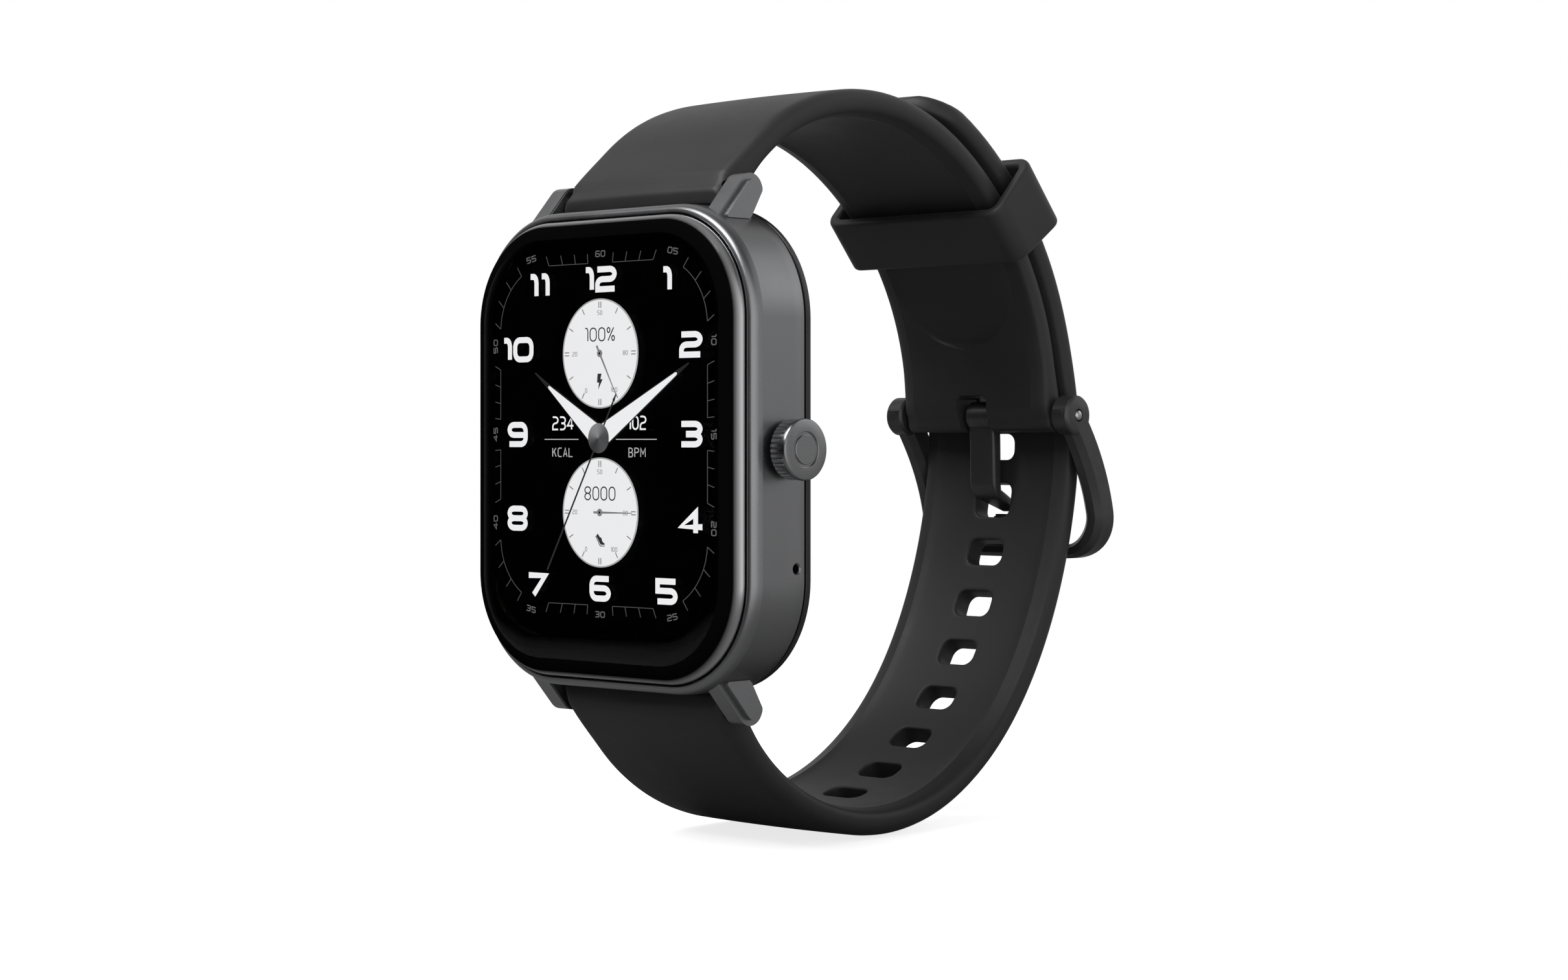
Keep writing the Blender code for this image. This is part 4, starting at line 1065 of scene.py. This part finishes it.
# ---------------------------------------------------------------- crown


def make_crown():
    groove, body = 0.17, CROWN_RADIUS - 0.06
    base, face = CROWN_BASE, CROWN_FACE
    profile = (  # radius, x and how deep the grooves are
        (2.3, base, 0.0), (2.6, base + 0.04, 0.02), (body - 0.06, base + 0.14, 0.8 * groove),
        (body, base + 0.26, groove), (body, face - 0.62, groove), (body, face - 0.52, groove),
        (body, face - 0.5, 0.3 * groove), (body, face - 0.47, 0.0), (CROWN_RADIUS, face - 0.42, 0.0),
        (CROWN_RADIUS, face - 0.22, 0.0), (CROWN_RADIUS - 0.03, face - 0.12, 0.0),
        (CROWN_RADIUS - 0.1, face - 0.04, 0.0), (CROWN_RADIUS - 0.22, face, 0.0), (1.68, face, 0.0),
        (1.63, face - 0.03, 0.0), (1.62, face - 0.12, 0.0), (1.38, face - 0.12, 0.0),
        (1.37, face - 0.03, 0.0), (1.32, face, 0.0), (0.6, face, 0.0),
    )
    rings = []
    for radius, x, depth in profile:
        ring = []
        for i, a in enumerate(turns(CROWN_RIBS * len(RIB_PATTERN))):
            r = radius - depth * RIB_PATTERN[i % len(RIB_PATTERN)]
            ring.append((x, CROWN_DEPTH + r * math.cos(a), r * math.sin(a)))
        rings.append(ring)
    knob = loft("crown_cap", rings, sharp=30.0)
    bore = rod("cut_knob_bore", (CROWN_BASE - 1, CROWN_DEPTH, 0.0), 2.25, 0.85)
    carve(knob, [bore], 30.0)
    finish_piece(knob, CROWN_METAL, "crown", "crown_metal", "crown_knob")
    seal = [(0.88 + 0.17 * math.cos(a), 18.1 + 0.17 * math.sin(a)) for a in turns(16)]
    ring_seal = turned("crown_seal", (0.0, CROWN_DEPTH, 0.0), "X", seal, 48, 80.0)
    finish_piece(ring_seal, SEAL, "watch", "seal_rubber", "crown_o_ring")


# ---------------------------------------------------------------- buckle


def frame_depth(z):
    share = (PIN_Z - z) / (PIN_Z - BUCKLE_BOTTOM)
    return PIN_DEPTH + BUCKLE_REACH * (1 - (1 - share) ** 2)


def soft_square(flat_u, flat_v, steps=3):
    """A square from -1 to 1 with rounded chamfers, where the flats end at flat_u and flat_v."""
    points = []
    for quarter in range(4):
        side_u = 1 if quarter in (0, 3) else -1
        side_v = 1 if quarter in (0, 1) else -1
        for step in range(steps + 1):
            angle = math.radians(90 * (1 - step / steps if quarter % 2 else step / steps))
            u, v = flat_u + (1 - flat_u) * math.cos(angle), flat_v + (1 - flat_v) * math.sin(angle)
            points.append((side_u * u, side_v * v))
    return points


def crossways(path, i):
    """A unit vector across a flat path at its point i."""
    before, after = path[max(i - 1, 0)], path[min(i + 1, len(path) - 1)]
    run = Vector((after[0] - before[0], after[1] - before[1])).normalized()
    return Vector((-run.y, run.x))


def make_buckle():
    pin_profile = (
        (0.0, 25.8), (0.25, 25.8), (0.44, 25.74), (0.55, 25.62), (PIN_RADIUS, 25.45),
        (PIN_RADIUS, 0.35), (0.55, 0.18), (0.44, 0.06), (0.25, 0.0), (0.0, 0.0),
    )
    pin = turned("buckle_pin_polished", (-12.9, PIN_DEPTH, PIN_Z), "X", pin_profile, 40)
    finish_piece(pin, STEEL, "watch", "steel", "buckle_pin")

    top = PIN_Z + 0.6
    corner_x, corner_z = ARM_X - BUCKLE_CORNER, BUCKLE_BOTTOM + BUCKLE_CORNER
    half_path = [(ARM_X, top - (top - corner_z) * t) for t in np.linspace(0.0, 1.0, 13)]
    for a in np.radians(np.linspace(0, 90, 17)[1:]):
        half_path.append((corner_x + BUCKLE_CORNER * math.cos(a), corner_z - BUCKLE_CORNER * math.sin(a)))
    bar = [(x, BUCKLE_BOTTOM) for x in np.linspace(corner_x, -corner_x, 9)[1:-1]]
    path = half_path + bar + [(-x, z) for x, z in reversed(half_path)]
    rings = []
    for i, (x, z) in enumerate(path):
        across = crossways(path, i)
        bar_share = ease((ARM_X - abs(x)) / BUCKLE_CORNER)
        half_across = ARM_HALF_WIDTH + bar_share * (BAR_HALF_HEIGHT - ARM_HALF_WIDTH)
        half_depth = ARM_HALF_DEPTH + bar_share * (BAR_HALF_DEPTH - ARM_HALF_DEPTH)
        half_depth += (ARM_TOP_HALF_DEPTH - ARM_HALF_DEPTH) * (1 - ease((PIN_Z - z) / 12.0))
        ring = []
        for u, v in soft_square(0.45, 0.6, 1):
            place = Vector((x, z)) + across * (u * half_across)
            ring.append((place.x, frame_depth(z) + v * half_depth, place.y))
        rings.append(ring)
    hoop = loft("buckle_hoop", rings)
    work = []
    half = ARM_HALF_WIDTH
    eye_profile = (
        (0.0, 2 * half), (1.72, 2 * half), (1.95, 2 * half - 0.1), (2.1, 2 * half - 0.3), (2.1, 0.3),
        (1.95, 0.1), (1.72, 0.0), (0.0, 0.0),
    )
    for side_name, x in (("right", ARM_X - half), ("left", -ARM_X - half)):
        eye = turned(f"add_eye_{side_name}", (x, PIN_DEPTH, PIN_Z), "X", eye_profile, 56)
        work.append(eye)
    work.append(block("add_rest", (-3.0, 61.9, BUCKLE_BOTTOM), (3.0, 63.1, -7.3), 0.25))
    bore = rod("cut_frame_pin", (-14.0, PIN_DEPTH, PIN_Z), 28.0, PIN_RADIUS + 0.08, segments=40)
    carve(hoop, [*work, bore])
    finish_piece(hoop, BUCKLE_METAL, "buckle", "buckle_metal", "buckle_frame")


def make_tongue():
    stations = (  # depth, z, half-width, half-thickness
        (56.9, 4.4, 1.75, 0.7), (56.9, 2.6, 1.75, 0.75), (57.0, 0.4, 1.75, 0.72),
        (57.05, -3.9, 1.75, 0.7), (57.4, -4.9, 1.65, 0.6), (58.9, -5.5, 1.4, 0.55),
        (61.4, -6.6, 1.1, 0.4),
    )
    fine = np.linspace(0, len(stations) - 1, 37)
    smooth = np.column_stack([np.interp(fine, range(len(stations)), c) for c in zip(*stations)])
    for _ in range(2):
        smooth[1:-1] = 0.25 * smooth[:-2] + 0.5 * smooth[1:-1] + 0.25 * smooth[2:]
    rings = []
    for i, (depth, z, half_width, half) in enumerate(smooth):
        off = crossways(smooth, i) * half
        square = soft_square(0.8, 0.5)
        rings.append([(u * half_width, depth + off.x * v, z + off.y * v) for u, v in square])
    tongue = loft("tongue_bar", rings)
    half = TONGUE_HALF_WIDTH
    eye_profile = (
        (0.0, 2 * half), (1.35, 2 * half), (1.55, 2 * half - 0.2), (1.55, 0.2), (1.35, 0.0), (0.0, 0.0),
    )
    eye = turned("add_tongue_eye", (-half, PIN_DEPTH, PIN_Z), "X", eye_profile, 48)
    bore = rod("cut_tongue", (-3.0, PIN_DEPTH, PIN_Z), 6.0, PIN_RADIUS + 0.08, segments=40)
    carve(tongue, [eye, bore])
    finish_piece(tongue, BUCKLE_METAL, "tongue", "buckle_metal", "buckle_tongue")


# ---------------------------------------------------------------- dial

# Strokes of each figure in a box from -1 to 1. A third value of 0 keeps that corner sharp, and a
# leading True closes the stroke on itself.
FIGURES = {
    "0": ((True, (-1, 1), (1, 1), (1, -1), (-1, -1)),),
    "1": ((False, (-1, 1), (1, 1), (1, -1)),),
    "2": ((False, (-1, 1), (1, 1), (1, 0), (-1, 0), (-1, -1, 0), (1, -1)),),
    "3": (
        (False, (-1, 1), (1, 1), (1, 0.02), (-0.5, 0.02)),
        (False, (-0.5, -0.02), (1, -0.02), (1, -1), (-1, -1)),
    ),
    "4": ((False, (0.5, -1), (0.5, 1, 0), (-1, -0.4, 0), (1.15, -0.4)),),
    "5": ((False, (1, 1), (-1, 1, 0), (-1, 0.05, 0), (1, 0.05), (1, -1), (-1, -1)),),
    "6": ((False, (1, 1), (-1, 1), (-1, -1), (1, -1), (1, 0.05), (-1, 0.05)),),
    "7": ((False, (-1, 1), (1, 1, 0), (-0.4, -1)),),
    "8": ((True, (-1, 1), (1, 1), (1, 0), (-1, 0)), (True, (-1, 0), (1, 0), (1, -1), (-1, -1))),
    "9": ((False, (-1, -1), (1, -1), (1, 1), (-1, 1), (-1, -0.05), (1, -0.05)),),
    "%": (
        (True, (-1, 1), (-0.25, 1), (-0.25, 0.25), (-1, 0.25)),
        (True, (0.25, -0.25), (1, -0.25), (1, -1), (0.25, -1)), (False, (0.75, 1), (-0.75, -1)),
    ),
    "K": ((False, (-1, 1), (-1, -1)), (False, (0.9, 1), (-0.9, -0.2)), (False, (-0.2, 0.25), (1, -1))),
    "C": ((False, (1, 1), (-1, 1), (-1, -1), (1, -1)),),
    "A": ((False, (-1, -1), (0, 1, 0), (1, -1)), (False, (-0.6, -0.4), (0.6, -0.4))),
    "L": ((False, (-1, 1), (-1, -1, 0), (1, -1)),),
    "B": (
        (True, (-1, 1, 0), (0.8, 1), (0.8, 0), (-1, 0, 0)),
        (True, (-1, 0, 0), (1, 0), (1, -1), (-1, -1, 0)),
    ),
    "P": ((False, (-1, -1), (-1, 1, 0), (1, 1), (1, 0), (-1, 0)),),
    "M": ((False, (-1, -1), (-1, 1, 0), (0, -0.3, 0), (1, 1, 0), (1, -1)),),
}
NARROW = {"1": 0.48, "4": 1.05, "%": 1.15, "M": 1.15}


class Artwork:
    """Flat shapes of one colour on the display, each a thin closed plate."""

    THICK = 0.02

    def __init__(self, name, material, depth):
        self.name = name
        self.material = material
        self.depths = (depth, depth + self.THICK)
        self.bm = bmesh.new()

    def plate(self, points):
        """A filled outline of (x, z) points."""
        skin(self.bm, [[self.bm.verts.new(spot(x, d, z)) for x, z in points] for d in self.depths])

    def disc(self, centre, radius, segments=96):
        self.plate(circle(centre, radius, segments))

    def ribbon(self, path, width, closed=False):
        """A line of an even width along (x, z) points, with mitred corners."""
        points = [np.array(p, dtype=float) for p in path]
        count = len(points)
        front, back = self.depths
        rows = []
        for i, point in enumerate(points):
            runs = []
            if i > 0 or closed:
                runs.append(point - points[i - 1])
            if i < count - 1 or closed:
                runs.append(points[(i + 1) % count] - point)
            normals = [np.array((-r[1], r[0])) / np.linalg.norm(r) for r in runs]
            total = sum(normals)
            mitre = total / max(float(total @ total) / len(normals) ** 2, 0.2) / len(normals)
            left, right = point + mitre * width / 2, point - mitre * width / 2
            section = ((left, front), (right, front), (right, back), (left, back))
            rows.append([self.bm.verts.new(spot(p[0], depth, p[1])) for p, depth in section])
        skin(self.bm, rows, closed)

    def write(self, text, centre, height, width, stroke, rounding, turn=0.0, gap=0.2):
        """Figures of a given size, centred on a place and turned by an angle in degrees."""
        widths = [width * NARROW.get(letter, 1.0) for letter in text]
        cos, sin = math.cos(math.radians(turn)), math.sin(math.radians(turn))
        left = -(sum(widths) + gap * (len(text) - 1)) / 2
        for letter, wide in zip(text, widths):
            half_x, half_y = (wide - stroke) / 2, (height - stroke) / 2
            for closed, *points in FIGURES[letter]:
                sized = []
                for u, v, *sharp in points:
                    sized.append((left + wide / 2 + u * half_x, v * half_y, 0 if sharp else rounding))
                path = rounded(sized, closed)
                placed = [(centre[0] + x * cos - y * sin, centre[1] + x * sin + y * cos) for x, y in path]
                self.ribbon(placed, stroke, closed)
            left += wide + gap

    def done(self):
        piece = from_bmesh(self.name, self.bm, 20.0)
        return finish_piece(piece, self.material, "watch", "display")


def circle(centre, radius, segments):
    return [(centre[0] + radius * math.cos(a), centre[1] + radius * math.sin(a)) for a in turns(segments)]


def clockwise(degrees):
    """A unit (x, z) vector at an angle from twelve o'clock."""
    angle = math.radians(degrees)
    return np.array((math.sin(angle), math.cos(angle)))


def blade(start, along, stations):
    """An outline either side of a line; each station is how far along it and the half-width."""
    across = np.array((along[1], -along[0]))
    sides = [start + along * r + across * half for r, half in stations]
    return sides + [start + along * r - across * half for r, half in reversed(stations)]


def rounded(corners, closed):
    """A path of (x, y) points from (x, y, radius) corners."""
    path = []
    count = len(corners)
    for i, (x, y, radius) in enumerate(corners):
        here = np.array((x, y))
        if radius == 0 or (not closed and i in (0, count - 1)):
            path.append((x, y))
            continue
        sides = [np.array(corners[(i + step) % count][:2]) - here for step in (-1, 1)]
        cuts = [s * min(radius, 0.49 * np.linalg.norm(s)) / np.linalg.norm(s) for s in sides]
        start, end = here + cuts[0], here + cuts[1]
        for t in (0.0, 0.2, 0.4, 0.6, 0.8, 1.0):
            bowed = (1 - t) ** 2 * start + 2 * t * (1 - t) * here + t**2 * end
            path.append(tuple(0.75 * bowed + 0.25 * ((1 - t) * start + t * end)))
        path[-6], path[-1] = tuple(start), tuple(end)
    return path


def track_place(minute, scale=1.0):
    """Where the ray of a minute meets the rounded track, scaled from the dial's centre."""
    ray = clockwise(6 * minute)
    return np.array((DIAL_X, TRACK_Z)) + ray * hole_reach(*ray, *TRACK) * scale


def make_dial():
    numerals = Artwork("dial_numerals", glow("lit_white", WHITE), 0.17)
    places = {
        "12": (0.02, 16.06), "1": (9.0, 15.72), "2": (12.15, 9.64), "3": (12.15, 1.41),
        "4": (12.15, -6.73), "5": (9.0, -13.15), "6": (0.02, -13.19), "7": (-8.9, -13.15),
        "8": (-11.73, -6.74), "9": (-11.73, 1.41), "10": (-11.7, 9.64), "11": (-8.6, 15.72),
    }
    for text, place in places.items():
        numerals.write(text, place, 2.44, 2.93, 0.57, 0.62)
    for text, x in (("234", -5.2), ("102", 5.07)):
        numerals.write(text, (x, 2.47), 1.34, 0.88, 0.16, 0.34, gap=0.16)
    numerals.done()

    track = Artwork("dial_track", glow("lit_dim", 0.075), 0.17)
    for first in range(1, 61, 5):
        track.ribbon([track_place(first + 3 * k / 12) for k in range(13)], 0.07)
        for minute in range(first, first + 4):
            track.ribbon([track_place(minute, 1.002), track_place(minute, 1.055)], 0.08)
    track.done()

    labels = Artwork("dial_minutes", glow("lit_label", 0.13), 0.17)
    for hour, turn in enumerate((0, -11, -90, -90, -90, 11, 0, -11, 90, 90, 90, 11)):
        text = f"{5 * hour:02d}" if hour else "60"
        labels.write(text, track_place(5 * hour, 1.052), 0.6, 0.62, 0.1, 0.12, turn, 0.12)
    labels.done()

    units = Artwork("dial_units", glow("lit_grey", 0.45), 0.17)
    units.write("KCAL", (-5.25, -0.31), 0.92, 0.6, 0.1, 0.22, gap=0.17)
    units.write("BPM", (5.07, -0.3), 0.92, 0.62, 0.1, 0.22, gap=0.18)
    for left, right in ((-7.8, -3.0), (2.2, 7.7)):
        units.ribbon([(left, 0.93), (right, 0.93)], 0.09)
    units.done()
    make_subdials()
    make_hands()


def make_subdials():
    discs = Artwork("dial_subdials", glow("lit_paper", 0.93), 0.2)
    rims = Artwork("dial_subdial_rims", glow("lit_rim", 0.42), 0.17)
    marks = Artwork("dial_subdial_marks", glow("lit_mark", 0.12), 0.15)
    figures = Artwork("dial_subdial_figures", glow("lit_figure", 0.33), 0.15)
    texts = Artwork("dial_subdial_texts", glow("lit_ink", 0.035), 0.15)
    hands = Artwork("dial_subdial_hands", glow("lit_hand", 0.24), 0.12)
    dots = Artwork("dial_subdial_dots", glow("lit_dot", 0.01), 0.1)
    for z, text, wide, hand_angle in SUBDIALS:
        centre = np.array((DIAL_X, z))
        discs.disc(centre, SUBDIAL_RADIUS)
        rims.ribbon(circle(centre, SUBDIAL_RADIUS - 0.06, 96), 0.13, closed=True)
        for step in range(12):
            along = clockwise(30 * step)
            across = np.array((along[1], -along[0]))
            for shift in (-0.14, 0.14) if step % 3 == 0 else (0.0,):
                marks.ribbon([centre + along * r + across * shift for r in (4.3, 4.9)], 0.08)
        scale = {"50": (0.0, 3.85), "20": (-3.5, 0.0), "80": (3.5, 0.0), "0": (-1.9, -3.5)}
        scale["100"] = (1.95, -3.45)
        for label, place in scale.items():
            figures.write(label, centre + place, 0.46, 0.3, 0.06, 0.12, gap=0.07)
        texts.write(text, centre + (0.0, 1.8), 1.34, wide, 0.12, 0.36, gap=0.2)
        hands.plate(blade(centre, clockwise(hand_angle), ((-0.85, 0.11), (0.0, 0.11), (4.45, 0.04))))
        hands.disc(centre, 0.36, 32)
        dots.disc(centre, 0.12, 24)
    bolt = (
        (0.22, 0.75), (-0.3, 0.75), (-0.38, -0.1), (-0.1, -0.1), (-0.22, -0.75), (0.38, 0.22), (0.08, 0.22),
    )
    shoe = (
        (-0.5, 0.42), (-0.28, 0.62), (0.0, 0.3), (0.2, 0.26), (0.36, -0.12), (0.66, -0.3), (0.66, -0.42),
        (0.12, -0.42),
    )
    sole = ((-0.62, 0.4), (-0.54, 0.4), (0.08, -0.5), (0.66, -0.5), (0.66, -0.57), (0.03, -0.57))
    for picture, height in ((bolt, 6.4), (shoe, -8.62), (sole, -8.62)):
        texts.plate([(DIAL_X + x, height + z) for x, z in picture])
    for artwork in (discs, rims, marks, figures, texts, hands, dots):
        artwork.done()


def make_hands():
    hub = np.array((DIAL_X, HUB_Z))
    outlines = Artwork("dial_hand_outlines", glow("lit_outline", 0.022), 0.09)
    lume = Artwork("dial_hands", glow("lit_lume", WHITE), 0.06)
    for tip, lume_end in (((-9.07, 7.35), 8.7), ((12.0, 7.94), 12.05)):
        length = math.dist(tip, hub)
        along = (np.array(tip) - hub) / length
        outlines.plate(blade(hub, along, ((0.8, 1.12), (lume_end, 0.24), (length, 0.07))))
        lume.plate(blade(hub, along, ((1.0, 0.98), (lume_end - 0.15, 0.15), (lume_end, 0.08))))
    outlines.done()
    lume.done()

    second = Artwork("dial_second_hand", glow("lit_second", 0.028), 0.03)
    far, tail = np.array((-7.28, -11.64)), np.array((2.3, 5.09))
    length = math.dist(far, tail)
    along = (far - tail) / length
    across = np.array((along[1], -along[0]))
    second.plate(blade(tail, along, ((0.0, 0.09), (length, 0.1))))
    barb = tail + along * 0.6
    second.plate([tail - along * 0.25, barb + across * 0.17, barb - across * 0.17])
    second.done()

    cap = Artwork("dial_hub", hub_glow("lit_hub"), -0.03)
    cap.disc(hub, 1.42)
    cap.done()


# ---------------------------------------------------------------- floor, light and camera


def make_floor():
    bm = bmesh.new()
    bmesh.ops.create_circle(bm, cap_ends=True, segments=96, radius=0.45)
    floor = from_bmesh("studio_floor", bm)
    floor.location = (0.0, 0.022, CAD_BOX[0].z - 0.0002)
    paint = Paint("floor_paper", (0.9, 0.9, 0.9), 0.8, Emission_Color=(1.0, 1.0, 1.0, 1.0))
    seen = paint.made("ShaderNodeLightPath")["Is Camera Ray"]
    paint.link(paint.mixed(seen, (0.22, 0.22, 0.22), (0.9, 0.9, 0.9)), "Base Color")
    paint.link(paint.bump(paint.noise(500.0, 3.0), 0.05, 0.0001), "Normal")
    paint.link(paint.math("MULTIPLY", seen, 0.78), "Emission Strength")
    x, y, _ = paint.axes()
    paint.link(paint.spread(paint.reach(x, y), 1.0, 0.0, *FLOOR_FADE), "Alpha")
    floor.data.materials.append(paint.material)


def toward(azimuth, elevation):
    """A unit vector; azimuth 0 is in front of the dial, 90 at the crown."""
    a, e = math.radians(azimuth), math.radians(elevation)
    return Vector((math.sin(a) * math.cos(e), -math.cos(a) * math.cos(e), math.sin(e)))


# Soft lights far away: azimuth, elevation, where each starts to fall off and ends, and its strength.
SOFT_LIGHTS = (
    (64.0, -6.0, 12.0, 60.0, 0.85), (150.0, 26.0, 4.0, 30.0, 0.62), (128.0, 0.0, 4.0, 45.0, 0.25),
    (264.0, 8.0, 8.0, 44.0, 0.3), (200.0, -45.0, 5.0, 60.0, 0.16), (208.0, 18.0, 10.0, 55.0, 0.45),
)
DARK_SIDE = (-44.0, 0.0, 14.0, 42.0)


def make_light():
    key = bpy.data.lights.new("key_softbox", "AREA")
    key.shape = "RECTANGLE"
    key.size, key.size_y = KEY_SIZE
    key.energy = KEY_POWER
    lamp = new_object("key_softbox", key)
    away = toward(*KEY_FROM)
    lamp.location = Vector((0.0, 0.015, 0.0)) + KEY_DISTANCE * away
    lamp.rotation_mode = "QUATERNION"
    lamp.rotation_quaternion = (-away).to_track_quat("-Z", "Y")

    world = bpy.data.worlds.new("studio")
    bpy.context.scene.world = world
    world.use_nodes = True
    sky = Nodes(world.node_tree)
    direction = sky.made("ShaderNodeTexCoord")["Generated"]

    def lobe(azimuth, elevation, inner, outer, strength):
        centre = toward(azimuth, elevation)
        near = sky.made("ShaderNodeVectorMath", direction, centre, operation="DOT_PRODUCT")["Value"]
        limits = (math.cos(math.radians(outer)), math.cos(math.radians(inner)), 0.0, strength)
        return sky.made("ShaderNodeMapRange", near, *limits, interpolation_type="SMOOTHSTEP")[0]

    height = sky.made("ShaderNodeSeparateXYZ", direction)["Z"]
    total = sky.spread(height, *SKY_LEVELS, -0.2, 1.0)
    for light in SOFT_LIGHTS:
        total = sky.math("ADD", total, lobe(*light))
    total = sky.math("MULTIPLY", total, sky.math("SUBTRACT", 1.0, lobe(*DARK_SIDE, 1.0)))
    white = (1.0, 1.0, 1.0, 1.0)
    seen = sky.made("ShaderNodeLightPath")["Is Camera Ray"]
    light, backdrop = (sky.made("ShaderNodeBackground", white, level)[0] for level in (total, 1.0))
    shade = sky.made("ShaderNodeMixShader", seen, light, backdrop)[0]
    sky.feed(sky.tree.nodes["World Output"].inputs["Surface"], shade)


def make_camera():
    data = bpy.data.cameras.new("studio_camera")
    data.lens = LENS
    data.sensor_width = 36.0
    data.shift_y = LENS_SHIFT
    data.clip_start, data.clip_end = 0.01, 10.0
    camera = new_object("studio_camera", data)
    camera.location = CAMERA_PLACE
    camera.rotation_mode = "QUATERNION"
    camera.rotation_quaternion = Vector(CAMERA_HEADING).to_track_quat("-Z", "Y")
    bpy.context.scene.camera = camera


make_camera()
make_light()
make_floor()
make_case()
make_glass()
seal_ring("glass_seal", 1.62, 1.95, 0.45, 0.28, "glass_gasket")
seal_ring("rear_seal", 1.02, 8.22, 0.17, 0.17, "rear_gasket")
make_back()
make_crown()
make_buckle_band()
make_hole_band()
make_keeper()
make_buckle()
make_tongue()
make_dial()
bpy.context.scene.view_settings.view_transform = "Standard"
